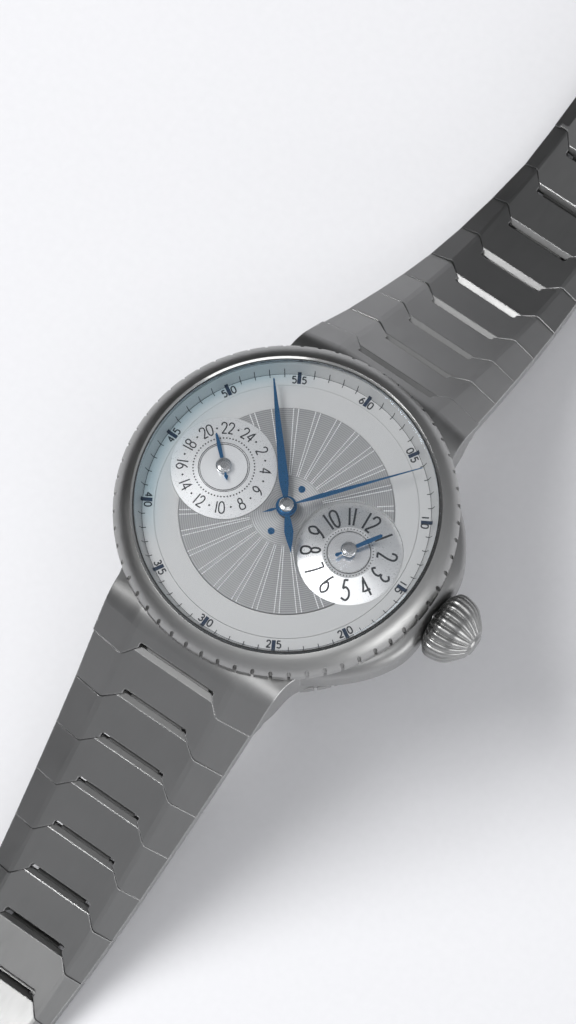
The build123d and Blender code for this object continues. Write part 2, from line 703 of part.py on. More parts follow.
# the ratchet wheel winds the barrel arbor; the crown wheel turns it from the winding pinion
RATCHET_TEETH = 60
CROWN_WHEEL_TEETH = 84
RATCHET_MODULE = 2 * math.dist(BARREL, CROWN_WHEEL) / (RATCHET_TEETH + CROWN_WHEEL_TEETH)
ratchet_wheel = fused(
    gear(BARREL, 2.5, 2.88, RATCHET_TEETH, RATCHET_MODULE, direction(BARREL, CROWN_WHEEL)),
    rod(BARREL, 2.3, 2.88, 1.3), rod(BARREL, 2.5, HIGH_PIVOT_Z, 0.7))
save(ratchet_wheel, "ratchet_wheel")

CONTRATE_TEETH = 26
CONTRATE_LOW_R = 1.75
CONTRATE_HIGH_R = 2.35
with BuildPart() as crown_wheel:
    add(gear(
        CROWN_WHEEL, 2.5, 2.88, CROWN_WHEEL_TEETH, RATCHET_MODULE,
        meeting(CROWN_WHEEL, CROWN_WHEEL_TEETH, BARREL)))
    add(rod(CROWN_WHEEL, 2.3, 2.88, 1.3))
    add(rod(CROWN_WHEEL, 2.5, 4.9, 0.7))
    add(rod(CROWN_WHEEL, 4.8, 5.2, CONTRATE_HIGH_R))
    with BuildSketch(Plane((CROWN_WHEEL[0], CROWN_WHEEL[1], 5.2))):
        with PolarLocations((CONTRATE_LOW_R + CONTRATE_HIGH_R) / 2, CONTRATE_TEETH,
                            start_angle=180.0 / CONTRATE_TEETH):
            Rectangle(CONTRATE_HIGH_R - CONTRATE_LOW_R - 0.03, 0.17)
    extrude(amount=0.17)
save(crown_wheel.part, "crown_wheel")

PINION_TEETH = 14
PINION_MODULE = 0.16
PINION_X = CROWN_WHEEL[0] + CONTRATE_LOW_R
SQUARE = 0.84
with BuildPart() as winding_pinion:
    with BuildSketch(Plane(origin=(PINION_X, 0.0, STEM_Z), x_dir=(0, 1, 0), z_dir=(1, 0, 0))):
        with BuildLine():
            Polyline(*gear_outline(PINION_TEETH, PINION_MODULE, -90.0, 0.2, 0.46), close=True)
        make_face()
    extrude(amount=CONTRATE_HIGH_R - CONTRATE_LOW_R)
    with BuildSketch(Plane(origin=(PINION_X, 0.0, STEM_Z), x_dir=(0, 1, 0), z_dir=(1, 0, 0))):
        Circle(0.92)
    extrude(amount=1.55)
    with BuildSketch(Plane(origin=(PINION_X - 0.1, 0.0, STEM_Z), x_dir=(0, 1, 0), z_dir=(1, 0, 0))):
        Rectangle(SQUARE + 0.06, SQUARE + 0.06)
    extrude(amount=2.0, mode=Mode.SUBTRACT)
save(winding_pinion.part, "winding_pinion")

ESCAPE_TEETH = 20
escape_points = []
for tooth in range(ESCAPE_TEETH):
    start = tooth * 360.0 / ESCAPE_TEETH
    escape_points.append(polar(1.5, start, ESCAPE))
    escape_points.append(polar(2.05, start + 7.0, ESCAPE))
    escape_points.append(polar(2.0, start + 9.0, ESCAPE))
    escape_points.append(polar(1.5, start + 6.0, ESCAPE))
with BuildPart() as escape_disc:
    with BuildSketch(Plane.XY.offset(4.7)):
        with BuildLine():
            Polyline(*escape_points, close=True)
        make_face()
        with Locations(ESCAPE):
            with PolarLocations(0.86, 4):
                Circle(0.36, mode=Mode.SUBTRACT)
    extrude(amount=0.15)
escape_wheel = fused(
    escape_disc.part, gear(ESCAPE, 3.88, 4.12, 8, 0.085, meeting(ESCAPE, 8, CENTRE)),
    rod(ESCAPE, LOW_PIVOT_Z, HIGH_PIVOT_Z, 0.12))
save(escape_wheel, "escape_wheel")

LEVER_ANGLE = direction(BALANCE, ESCAPE)
LEVER_TO_ESCAPE = 2.75
LEVER = polar(-LEVER_TO_ESCAPE, LEVER_ANGLE, ESCAPE)


def lever_plane(z):
    """Plane at a height, centred on the pallet fork's pivot, with x towards the escape wheel."""
    x_end = polar(1.0, LEVER_ANGLE)
    return Plane(origin=(LEVER[0], LEVER[1], z), x_dir=(x_end[0], x_end[1], 0.0), z_dir=(0, 0, 1))


with BuildPart() as pallet_fork:
    with BuildSketch(lever_plane(4.7)):
        with BuildLine():
            Polyline(
                (1.3, 1.72), (0.95, 1.76), (-0.1, 0.3), (-1.72, 0.16), (-2.08, 0.38),
                (-2.08, 0.2), (-1.76, 0.11), (-1.76, -0.11), (-2.08, -0.2), (-2.08, -0.38),
                (-1.72, -0.16), (-0.1, -0.3), (0.95, -1.76), (1.3, -1.72), (0.45, 0.0), close=True)
        make_face()
    extrude(amount=0.15)
    add(rod(LEVER, 4.36, HIGH_PIVOT_Z, 0.12))
save(pallet_fork.part, "pallet_fork")

with BuildPart() as pallet_bridge:
    with BuildSketch(lever_plane(4.34)):
        with Locations((-0.5, 0.0)):
            Rectangle(0.7, 3.9)
        Circle(0.45)
        with Locations((-0.5, 1.95), (-0.5, -1.95)):
            Circle(0.45)
        Circle(0.15, mode=Mode.SUBTRACT)
    extrude(amount=0.22)
    with BuildSketch(lever_plane(4.34)):
        with Locations((-0.5, 1.95), (-0.5, -1.95)):
            Circle(0.45)
    extrude(amount=PLATE_LOW_Z - 4.34)
save(pallet_bridge.part, "pallet_bridge")

# balance with its staff, roller and hairspring
HAIRSPRING_TURNS = 5.5


def spiral(turns, start_r, end_r, steps_per_turn=20):
    """Points of a flat spiral about the balance staff."""
    count = int(turns * steps_per_turn)
    return [
        polar(start_r + (end_r - start_r) * step / count, 360.0 * step / steps_per_turn, BALANCE)
        for step in range(count + 1)]


with BuildPart() as balance_wheel:
    with BuildSketch(Plane((BALANCE[0], BALANCE[1], 3.95))):
        Circle(4.6)
        Circle(4.15, mode=Mode.SUBTRACT)
        with PolarLocations(0.0, 3, start_angle=25):
            with Locations((2.1, 0.0)):
                Rectangle(4.3, 0.42)
        Circle(0.6)
        with PolarLocations(4.1, 6, start_angle=55):
            Circle(0.28)
    extrude(amount=0.32)
    add(rod(BALANCE, LOW_PIVOT_Z, HIGH_PIVOT_Z, 0.15))
    add(rod(BALANCE, 4.27, 4.5, 0.3))
    add(rod(BALANCE, 4.5, 4.66, 0.62))
    add(rod(polar(0.5, LEVER_ANGLE, BALANCE), 4.6, 4.84, 0.08))
with BuildPart() as hairspring:
    inner_edge = spiral(HAIRSPRING_TURNS, 0.36, 2.3)
    outer_edge = spiral(HAIRSPRING_TURNS, 0.42, 2.36)
    with BuildSketch(Plane.XY.offset(3.77)):
        with BuildLine():
            Polyline(*inner_edge, *reversed(outer_edge), close=True)
        make_face()
        with Locations(BALANCE):
            Circle(0.4)
            Circle(0.16, mode=Mode.SUBTRACT)
    extrude(amount=0.13)
save(Compound(children=[balance_wheel.part, hairspring.part]), "balance_wheel")

# motion work under the dial: one idler for each small dial
minute_wheel = fused(
    gear(HOUR_IDLER, 8.0, 8.3, 36, 0.2, meeting(HOUR_IDLER, 36, CENTRE), 5),
    gear(HOUR_IDLER, 8.25, 8.8, 12, 0.16, direction(HOUR_IDLER, HOUR_AXIS)),
    ) - rod(HOUR_IDLER, 7.0, 9.5, 0.43)
save(minute_wheel, "minute_wheel")

# the cannon pinion's teeth are set for the first idler, so the second one is turned to suit
cannon_offset = (direction(CENTRE, HOUR_IDLER) - direction(CENTRE, ZONE_IDLER)) % 30.0
zone_phase = meeting(ZONE_IDLER, 36, CENTRE) - cannon_offset * 12 / 36
zone_idler = fused(
    gear(ZONE_IDLER, 8.0, 8.3, 36, 0.2, zone_phase, 5),
    gear(ZONE_IDLER, 8.25, 8.8, 10, 0.1, direction(ZONE_IDLER, ZONE_AXIS)),
    ) - rod(ZONE_IDLER, 7.0, 9.5, 0.26)
save(zone_idler, "zone_idler")


def display_wheel(axis, teeth, module, idler):
    """Wheel of a small dial, with the post and the polished cap that hold its hand."""
    cap = Plane((axis[0], axis[1], 0.0)).location * revolved([
        (0.0, 11.15), (0.95, 11.15), (0.95, 11.35), (0.8, 11.47), (0.45, 11.52), (0.0, 11.52)])
    return fused(
        gear(axis, 8.45, 8.75, teeth, module, meeting(axis, teeth, idler), 5),
        rod(axis, PLATE_TOP_Z + 0.03, 11.2, 0.45), cap)


save(display_wheel(HOUR_AXIS, 48, 0.16, HOUR_IDLER), "hour_wheel")
save(display_wheel(ZONE_AXIS, 80, 0.1, ZONE_IDLER), "zone_wheel")

# ---------------------------------------------------------------- plate, bridge and cock
SCREW_SPOTS = [polar(14.1, angle) for angle in (-25.0, 25.0, 75.0, 125.0, 265.0)]
SCREW_END_Z = 6.5
SCREW_R = 0.3
COCK_FOOT = polar(15.2, 205.0)
POCKET_X = PINION_X - 0.1
PILOT_R = 0.4

with BuildPart() as main_plate:
    with BuildSketch(Plane.XY.offset(PLATE_LOW_Z)):
        Circle(PLATE_R)
    extrude(amount=PLATE_TOP_Z - PLATE_LOW_Z)
    for spot, radius in ((THIRD, 0.23), (ESCAPE, 0.17), (LEVER, 0.17), (BALANCE, 0.2),
                         (BARREL, 0.74)):
        add(rod(spot, PLATE_LOW_Z - 0.1, HIGH_PIVOT_Z + 0.05, radius), mode=Mode.SUBTRACT)
    for spot in [*SCREW_SPOTS, COCK_FOOT]:
        add(rod(spot, PLATE_LOW_Z - 0.1, SCREW_END_Z + 0.05, SCREW_R + 0.01), mode=Mode.SUBTRACT)
    add(rod(CENTRE, PLATE_LOW_Z, PLATE_TOP_Z + 1.0, 0.6), mode=Mode.SUBTRACT)
    add(rod(HOUR_IDLER, PLATE_TOP_Z, 8.85, 0.38))
    add(rod(ZONE_IDLER, PLATE_TOP_Z, 8.85, 0.2))
    with BuildSketch(Plane(origin=(POCKET_X, 0.0, STEM_Z), z_dir=(1, 0, 0))):
        Circle(STEM_R + 0.06)
    extrude(amount=9.0, mode=Mode.SUBTRACT)
    with BuildSketch(Plane(origin=(POCKET_X, 0.0, STEM_Z), z_dir=(1, 0, 0))):
        Circle(PILOT_R + 0.03)
    extrude(amount=-1.7, mode=Mode.SUBTRACT)
    with BuildSketch(Plane.XY.offset(PLATE_LOW_Z)):
        with Locations((POCKET_X + 0.88, 0.0)):
            Rectangle(1.76, 2.8)
    extrude(amount=2.3, mode=Mode.SUBTRACT)
save(main_plate.part, "main_plate")

with BuildPart() as winding_stem:
    with BuildSketch(Plane(origin=(POCKET_X - 1.6, 0.0, STEM_Z), z_dir=(1, 0, 0))):
        Circle(PILOT_R)
    extrude(amount=1.7)
    with BuildSketch(Plane(origin=(POCKET_X, 0.0, STEM_Z), x_dir=(0, 1, 0), z_dir=(1, 0, 0))):
        Rectangle(SQUARE, SQUARE)
    extrude(amount=3.4)
    with BuildSketch(Plane(origin=(POCKET_X + 3.3, 0.0, STEM_Z), z_dir=(1, 0, 0))):
        Circle(STEM_R)
    extrude(amount=25.38 - POCKET_X - 3.3)
save(winding_stem.part, "winding_stem")

BRIDGE_R = 14.8
with BuildPart() as train_bridge:
    with BuildSketch(Plane.XY.offset(BRIDGE_LOW_Z)):
        Circle(BRIDGE_R)
        with Locations(BALANCE):
            Circle(5.1, mode=Mode.SUBTRACT)
        with PolarLocations(12.6, 1, start_angle=205.0):
            Rectangle(6.4, 8.6, mode=Mode.SUBTRACT)
    extrude(amount=BRIDGE_TOP_Z - BRIDGE_LOW_Z)
    with BuildSketch(Plane.XY.offset(BRIDGE_TOP_Z)):
        Circle(BRIDGE_R)
        Circle(13.3, mode=Mode.SUBTRACT)
        with PolarLocations(11.0, 1, start_angle=205.0):
            Rectangle(10.0, 13.5, mode=Mode.SUBTRACT)
    extrude(amount=PLATE_LOW_Z - BRIDGE_TOP_Z)
    for spot, radius in ((THIRD, 0.5), (ESCAPE, 0.5), (CENTRE, 0.5), (BARREL, 0.75),
                         (CROWN_WHEEL, 0.75)):
        add(rod(spot, BRIDGE_LOW_Z - 0.1, BRIDGE_TOP_Z + 0.1, radius), mode=Mode.SUBTRACT)
    for spot in SCREW_SPOTS:
        add(rod(spot, BRIDGE_LOW_Z - 0.1, PLATE_LOW_Z + 0.1, SCREW_R + 0.01), mode=Mode.SUBTRACT)
    add(rod(CENTRE, 1.7, BRIDGE_LOW_Z, 0.75, SCREW_R + 0.01))
save(train_bridge.part, "train_bridge")

with BuildPart() as balance_cock:
    with BuildSketch(Plane((BALANCE[0], BALANCE[1], BRIDGE_LOW_Z))):
        Circle(2.0)
        Circle(0.5, mode=Mode.SUBTRACT)
        with PolarLocations(3.1, 1, start_angle=205.0):
            Rectangle(3.6, 2.6)
        with PolarLocations(5.5, 1, start_angle=205.0):
            Rectangle(1.4, 5.2)
    extrude(amount=0.8)
    with BuildSketch(Plane((BALANCE[0], BALANCE[1], BRIDGE_LOW_Z + 0.8))):
        with PolarLocations(5.5, 1, start_angle=205.0):
            Rectangle(1.4, 5.2)
    extrude(amount=PLATE_LOW_Z - BRIDGE_LOW_Z - 0.8)
    add(rod(COCK_FOOT, BRIDGE_LOW_Z - 0.1, PLATE_LOW_Z + 0.1, SCREW_R + 0.01), mode=Mode.SUBTRACT)
save(balance_cock.part, "balance_cock")

JEWEL_Z = 3.0
jewel_list = []
for spot, pivot_r in ((THIRD, 0.21), (ESCAPE, 0.15), (CENTRE, 0.23), (BALANCE, 0.18)):
    jewel_list.append(rod(spot, JEWEL_Z - 0.02, JEWEL_Z + 0.5, 0.49, pivot_r))
save(Compound(children=jewel_list), "jewels")


def slotted_screw(centre, low_z, head_r, head_h, shank_r, shank_top_z):
    """A slotted screw whose head faces down, out of the back of the movement."""
    shank = rod(centre, low_z + head_h, shank_top_z, shank_r)
    with BuildPart() as screw:
        add(rod(centre, low_z, low_z + head_h, head_r))
        with BuildSketch(Plane((centre[0], centre[1], low_z))):
            Rectangle(2.4 * head_r, 0.3 * head_r)
        extrude(amount=head_h * 0.45, mode=Mode.SUBTRACT)
        add(shank)
    return screw.part


HEAD_H = 0.35
movement_screws = [
    slotted_screw(spot, BRIDGE_LOW_Z - HEAD_H, 0.65, HEAD_H, SCREW_R, SCREW_END_Z)
    for spot in [*SCREW_SPOTS, COCK_FOOT]]
movement_screws.append(slotted_screw(CENTRE, 1.4, 1.15, 0.3, SCREW_R, 2.7))
save(Compound(children=movement_screws), "movement_screws")

with BuildPart() as rotor:
    with BuildSketch(Plane.XY.offset(1.75)):
        with BuildLine():
            rim_arc = CenterArc((0, 0), 14.55, 182.0, 176.0)
            Line(rim_arc @ 1, (2.2, 1.4))
            cheek = ThreePointArc((2.2, 1.4), (0.0, 2.61), (-2.2, 1.4))
            Line(cheek @ 1, rim_arc @ 0)
        make_face()
        with PolarLocations(7.3, 3, start_angle=210.0, angular_range=120.0):
            Circle(2.3, mode=Mode.SUBTRACT)
        Circle(0.82, mode=Mode.SUBTRACT)
    extrude(amount=0.4)
    with BuildSketch(Plane.XY.offset(1.45)):
        with BuildLine():
            outer = CenterArc((0, 0), 14.55, 184.0, 172.0)
            inner = CenterArc((0, 0), 12.1, 184.0, 172.0)
            Line(outer @ 0, inner @ 0)
            Line(outer @ 1, inner @ 1)
        make_face()
    extrude(amount=1.0)
    add(rod(CENTRE, 1.72, 2.26, 1.7, 0.82))
save(rotor.part, "rotor")

# ---------------------------------------------------------------- dial
with BuildPart() as dial_plate:
    add(revolved([
        (DIAL_HOLE_R, 8.95), (PLATE_R, 8.95), (PLATE_R, 9.38), (MINUTE_RING_IN_R - 0.04, 9.38),
        (MINUTE_RING_IN_R - 0.04, DIAL_Z + 0.06), (DIAL_CENTRE_R + 0.05, DIAL_Z + 0.06),
        (DIAL_CENTRE_R + 0.05, 9.5), (DIAL_HOLE_R, 9.5)]))
    add(rod(HOUR_AXIS, 8.0, 11.0, HOUR_DIAL_R + 0.03), mode=Mode.SUBTRACT)
    add(rod(ZONE_AXIS, 8.0, 11.0, ZONE_DIAL_R + 0.03), mode=Mode.SUBTRACT)
save(dial_plate.part, "dial_plate")

SCREW_Y = 3.2
with BuildPart() as guilloche_disc:
    add(rod(CENTRE, 9.5, DIAL_Z + 0.25, DIAL_CENTRE_R, DIAL_HOLE_R))
    add(rod(HOUR_AXIS, 8.0, 11.0, HOUR_DIAL_R + 0.03), mode=Mode.SUBTRACT)
    add(rod(ZONE_AXIS, 8.0, 11.0, ZONE_DIAL_R + 0.03), mode=Mode.SUBTRACT)
    for screw_y in (-SCREW_Y, SCREW_Y):
        add(rod((0.0, screw_y), 9.0, 11.0, 0.24), mode=Mode.SUBTRACT)
save(guilloche_disc.part, "guilloche_disc")

dial_screws = []
for screw_y in (-SCREW_Y, SCREW_Y):
    with BuildPart() as dial_screw:
        add(rod((0.0, screw_y), 9.55, DIAL_Z + 0.25, 0.23))
        add(rod((0.0, screw_y), DIAL_Z + 0.25, DIAL_Z + 0.42, 0.42))
        with BuildSketch(Plane((0.0, screw_y, DIAL_Z + 0.42))):
            Rectangle(1.0, 0.11, rotation=40.0 + 50.0 * screw_y / SCREW_Y)
        extrude(amount=-0.09, mode=Mode.SUBTRACT)
    dial_screws.append(dial_screw.part)
save(Compound(children=dial_screws), "dial_screws")

minute_ring = revolved([
    (MINUTE_RING_IN_R, 9.42), (18.42, 9.42), (18.42, 11.6), (18.22, 11.6), (17.5, DIAL_Z),
    (MINUTE_RING_IN_R, DIAL_Z)])
save(minute_ring, "minute_ring")

hour_subdial = Plane((HOUR_DIAL_X, 0.0, 0.0)).location * revolved([
    (0.55, 8.95), (HOUR_DIAL_R, 8.95), (HOUR_DIAL_R, 9.15), (3.2, 9.92), (2.75, 9.92), (2.7, 9.86),
    (2.55, 9.86), (2.5, 9.92), (0.55, 10.05)])
save(hour_subdial, "hour_subdial")

zone_subdial = Plane((ZONE_DIAL_X, 0.0, 0.0)).location * revolved([
    (0.55, 8.95), (ZONE_DIAL_R, 8.95), (ZONE_DIAL_R, 10.2), (3.1, 10.5), (3.05, 10.42),
    (2.9, 10.42), (2.85, 10.5), (0.55, 10.62)])
save(zone_subdial, "zone_subdial")


# ---------------------------------------------------------------- hands
def hand(axis, angle, low_z, thickness, half_outline, hub_r, hole_r, hub_low_z, hub_h):
    """A symmetrical hand with a round hub, pointing at a clockwise angle from twelve."""
    turned = Plane((axis[0], axis[1], low_z), x_dir=(
        math.cos(math.radians(angle)), -math.sin(math.radians(angle)), 0.0))
    right = [(width, along) for width, along in half_outline]
    left = [(-width, along) for width, along in reversed(half_outline) if width > 0.0]
    with BuildPart() as blade:
        with BuildSketch(turned):
            with BuildLine():
                Polyline(*right, *left, close=True)
            make_face()
        extrude(amount=thickness)
        add(rod(axis, hub_low_z, hub_low_z + hub_h, hub_r))
        add(rod(axis, hub_low_z - 2.0, hub_low_z + hub_h + 2.0, hole_r), mode=Mode.SUBTRACT)
    return blade.part


minute_outline = [
    (0.0, 16.4), (0.1, 16.2), (0.27, 12.6), (0.42, 8.6), (0.6, 3.6), (0.52, 2.6), (0.3, 1.2),
    (0.3, -1.2), (0.42, -1.9), (0.56, -3.2), (0.42, -4.1), (0.0, -5.9)]
save(hand(CENTRE, MINUTE_ANGLE, 11.62, 0.14, minute_outline, 1.28, 0.76, 11.5, 0.3), "minute_hand")

seconds_outline = [
    (0.0, 17.05), (0.05, 17.0), (0.13, 11.0), (0.3, 4.6), (0.24, 3.2), (0.08, 1.2), (0.08, -1.2),
    (0.17, -1.9), (0.0, -3.0)]
save(hand(CENTRE, SECONDS_ANGLE, 11.92, 0.1, seconds_outline, 1.05, 0.205, 11.87, 0.17),
     "seconds_hand")

hour_outline = [
    (0.0, 4.45), (0.2, 4.3), (0.27, 2.6), (0.22, 0.8), (0.22, -0.8), (0.12, -1.1), (0.24, -1.5),
    (0.16, -1.75), (0.0, -1.8)]
save(hand(HOUR_AXIS, HOUR_ANGLE, 11.0, 0.13, hour_outline, 0.85, 0.455, 10.95, 0.19), "hour_hand")

zone_outline = [
    (0.0, 4.3), (0.14, 4.1), (0.26, 2.6), (0.2, 0.8), (0.2, -0.8), (0.1, -1.1), (0.27, -1.35),
    (0.0, -1.9)]
save(hand(ZONE_AXIS, ZONE_ANGLE, 11.0, 0.13, zone_outline, 0.85, 0.455, 10.95, 0.19), "zone_hand")

# ---------------------------------------------------------------- folding clasp
# It closes under the end of the twelve o'clock arm. In its plane u runs away from the head.
CLASP = arm_plane(1, PIVOTS_12H[-1][0], PIVOTS_12H[-1][1], 0.0)
CLASP_Y = PIVOTS_12H[-1][0]
CLASP_Z = PIVOTS_12H[-1][1]
CLASP_HALF_W = half_width(8)
COVER_END_U = 24.8
COVER_LOW_W = -3.0
WALL_T = 0.9
FLOOR_W = FLOOR_Z - CLASP_Z
COVER_HINGE = (23.6, -0.5)
BLADE_HINGE = (5.0, -1.9)
HINGE_R = 0.9
BUTTON_U = 12.5
BUTTON_W = -1.2
BUTTON_R = 1.0
BUTTON_TRAVEL = 0.7
SIDE = Plane(origin=CLASP.origin, x_dir=(0, 1, 0), z_dir=(1, 0, 0))


def barrel_piece(spot, half_length, radius, offset=0.0):
    """A round bar across the clasp, about a point (u, w) of its side view."""
    with BuildPart() as bar:
        with BuildSketch(SIDE.offset(offset - half_length)):
            with Locations(spot):
                Circle(radius)
        extrude(amount=2 * half_length)
    return bar.part


def clasp_box(u, w, half_x):
    """A block of the clasp from ranges of u and w, centred across it."""
    with BuildPart() as block:
        with BuildSketch(SIDE.offset(-half_x)):
            with Locations(((u[0] + u[1]) / 2, (w[0] + w[1]) / 2)):
                Rectangle(u[1] - u[0], w[1] - w[0])
        extrude(amount=2 * half_x)
    return block.part


with BuildPart() as clasp_cover:
    add(clasp_box((FACE_U, COVER_END_U), (COVER_LOW_W, TOP_W), CLASP_HALF_W))
    with BuildSketch(Plane(origin=CLASP.origin, x_dir=(-1, 0, 0), z_dir=(0, 1, 0)).offset(1.0)):
        for sign in (-1, 1):
            with BuildLine():
                Polyline(
                    (sign * 6.2, TOP_W), (sign * 9.0, TOP_W + 0.5), (sign * 9.0, TOP_W - 1.4),
                    close=True)
            make_face()
    extrude(amount=26.0, mode=Mode.SUBTRACT)
    add(clasp_box((1.95, COVER_END_U + 1.0), (COVER_LOW_W - 1.0, 0.5), CLASP_HALF_W - WALL_T),
        mode=Mode.SUBTRACT)
    add(clasp_box((0.0, 1.96), (COVER_LOW_W - 1.0, LOW_W + 0.02), CLASP_HALF_W + 1.0),
        mode=Mode.SUBTRACT)
    add(tongue(CLASP, 8))
    add(barrel_piece((BUTTON_U, BUTTON_W), CLASP_HALF_W + 1.0, BUTTON_R + 0.06), mode=Mode.SUBTRACT)
    add(barrel_piece(COVER_HINGE, CLASP_HALF_W + 1.0, PIN_R), mode=Mode.SUBTRACT)
cover_pin = pin(CLASP, CLASP_HALF_W - 0.7)
hinge_pin = barrel_piece(COVER_HINGE, CLASP_HALF_W - 0.1, PIN_R - 0.005)
save(Compound(children=[clasp_cover.part, cover_pin, hinge_pin]), "clasp_cover")

UPPER_HALF_W = 5.4
KNUCKLE_HALF_W = 2.5
with BuildPart() as upper_blade:
    add(clasp_box((BLADE_HINGE[0], COVER_HINGE[0]), (-1.15, -0.25), UPPER_HALF_W))
    add(barrel_piece(COVER_HINGE, CLASP_HALF_W - WALL_T - 0.1, HINGE_R))
    add(barrel_piece(BLADE_HINGE, UPPER_HALF_W, HINGE_R))
    add(barrel_piece(COVER_HINGE, CLASP_HALF_W, PIN_R + PIN_CLEARANCE), mode=Mode.SUBTRACT)
    add(barrel_piece(BLADE_HINGE, UPPER_HALF_W + 1.0, PIN_R), mode=Mode.SUBTRACT)
    add(clasp_box((BLADE_HINGE[0] - 1.2, BLADE_HINGE[0] + 1.25), (-3.2, 0.2), KNUCKLE_HALF_W + 0.06),
        mode=Mode.SUBTRACT)
blade_pin = barrel_piece(BLADE_HINGE, UPPER_HALF_W - 0.05, PIN_R - 0.005)
save(Compound(children=[upper_blade.part, blade_pin]), "clasp_upper_blade")

LOWER_HALF_W = 6.4
END_BARREL = (26.4, FLOOR_W + 0.96)
with BuildPart() as lower_blade:
    add(clasp_box((BLADE_HINGE[0] - 0.9, END_BARREL[0]), (FLOOR_W, FLOOR_W + 0.86), LOWER_HALF_W))
    add(clasp_box((BLADE_HINGE[0] - 0.9, BLADE_HINGE[0] + 0.9), (FLOOR_W + 0.5, BLADE_HINGE[1]),
                  KNUCKLE_HALF_W))
    add(barrel_piece(BLADE_HINGE, KNUCKLE_HALF_W, HINGE_R))
    add(barrel_piece(END_BARREL, 4.3, 0.96))
    add(barrel_piece(BLADE_HINGE, KNUCKLE_HALF_W + 1.0, PIN_R + PIN_CLEARANCE), mode=Mode.SUBTRACT)
    add(barrel_piece(END_BARREL, 8.0, PIN_R + PIN_CLEARANCE), mode=Mode.SUBTRACT)
    with BuildSketch(CLASP.offset(FLOOR_W)):
        with Locations((0.0, 15.0)):
            SlotOverall(12.0, 4.0, rotation=90)
    extrude(amount=1.0, mode=Mode.SUBTRACT)
    add(clasp_box((END_BARREL[0] - 1.1, END_BARREL[0] + 1.1), (FLOOR_W - 1.0, FLOOR_W + 3.0), 9.0)
        - clasp_box((END_BARREL[0] - 2.0, END_BARREL[0] + 2.0), (FLOOR_W - 2.0, FLOOR_W + 4.0), 4.3),
        mode=Mode.SUBTRACT)
save(lower_blade.part, "clasp_lower_blade")

for sign, name in ((1, "clasp_button_right"), (-1, "clasp_button_left")):
    inner_x = sign * (CLASP_HALF_W - WALL_T - 0.65)
    with BuildPart() as button:
        with BuildSketch(SIDE.offset(inner_x)):
            with Locations((BUTTON_U, BUTTON_W)):
                Circle(BUTTON_R + 0.4)
        extrude(amount=sign * 0.6)
        with BuildSketch(SIDE.offset(inner_x)):
            with Locations((BUTTON_U, BUTTON_W)):
                Circle(BUTTON_R)
        extrude(amount=sign * 2.4)
    save(button.part, name)
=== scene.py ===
import json
import math
import bpy
import bmesh
from mathutils import Matrix, Vector


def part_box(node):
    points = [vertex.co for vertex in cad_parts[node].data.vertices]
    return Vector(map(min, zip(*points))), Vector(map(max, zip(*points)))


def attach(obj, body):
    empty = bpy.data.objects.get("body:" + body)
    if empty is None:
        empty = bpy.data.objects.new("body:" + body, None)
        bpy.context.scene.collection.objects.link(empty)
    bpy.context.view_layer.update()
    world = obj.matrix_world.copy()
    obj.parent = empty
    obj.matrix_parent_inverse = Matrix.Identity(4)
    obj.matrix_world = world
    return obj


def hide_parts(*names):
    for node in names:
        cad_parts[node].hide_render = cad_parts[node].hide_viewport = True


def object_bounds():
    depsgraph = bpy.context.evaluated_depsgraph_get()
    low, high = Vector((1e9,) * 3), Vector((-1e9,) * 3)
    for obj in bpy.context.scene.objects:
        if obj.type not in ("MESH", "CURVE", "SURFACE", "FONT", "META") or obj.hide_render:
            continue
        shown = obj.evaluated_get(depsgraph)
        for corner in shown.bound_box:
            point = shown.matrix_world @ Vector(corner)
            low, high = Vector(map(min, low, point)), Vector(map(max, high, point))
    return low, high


# Regulator wristwatch on a link bracelet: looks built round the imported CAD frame.
# Lengths below are millimetres, multiplied by MM where they reach Blender.
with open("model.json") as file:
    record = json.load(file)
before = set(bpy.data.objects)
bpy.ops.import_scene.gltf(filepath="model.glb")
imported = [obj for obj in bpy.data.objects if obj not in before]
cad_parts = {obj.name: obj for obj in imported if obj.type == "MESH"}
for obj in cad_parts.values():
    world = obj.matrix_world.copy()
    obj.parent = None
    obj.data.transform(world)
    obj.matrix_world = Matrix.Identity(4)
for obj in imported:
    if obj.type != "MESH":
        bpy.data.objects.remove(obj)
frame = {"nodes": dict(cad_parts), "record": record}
cad_low, cad_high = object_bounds()
MM = 0.001
NODES = frame["nodes"]


# ---------------------------------------------------------------- places, read from the frame
def centre_of(node):
    """Middle of a CAD node's box, in millimetres."""
    low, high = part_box(node)
    return [(a + b) / 2 / MM for a, b in zip(low, high)]


def radius_of(node):
    """Half the width of a round CAD node, in millimetres."""
    low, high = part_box(node)
    return (high[0] - low[0]) / 2 / MM


HOUR_DIAL = centre_of("hour_subdial")
ZONE_DIAL = centre_of("zone_subdial")
HOUR_DIAL_R = radius_of("hour_subdial")
ZONE_DIAL_R = radius_of("zone_subdial")
FLOOR_Z = cad_low.z / MM

# Faces inside the case, which the boxes don't give: the flat dial, the flange that rises
# round it by FLANGE_RISE for each millimetre, and the engine-turned disc with its hub.
DIAL_Z = 9.8
FLANGE_R = 17.5
FLANGE_RISE = 2.5
GUILLOCHE_Z = 10.05
GUILLOCHE_R = 12.95
HUB_R = 4.4
# A small dial is flat inside a radius and slopes down to its edge: radius, height, edge height.
HOUR_CONE = (3.2, 9.92, 9.15)
ZONE_CONE = (3.1, 10.5, 10.2)


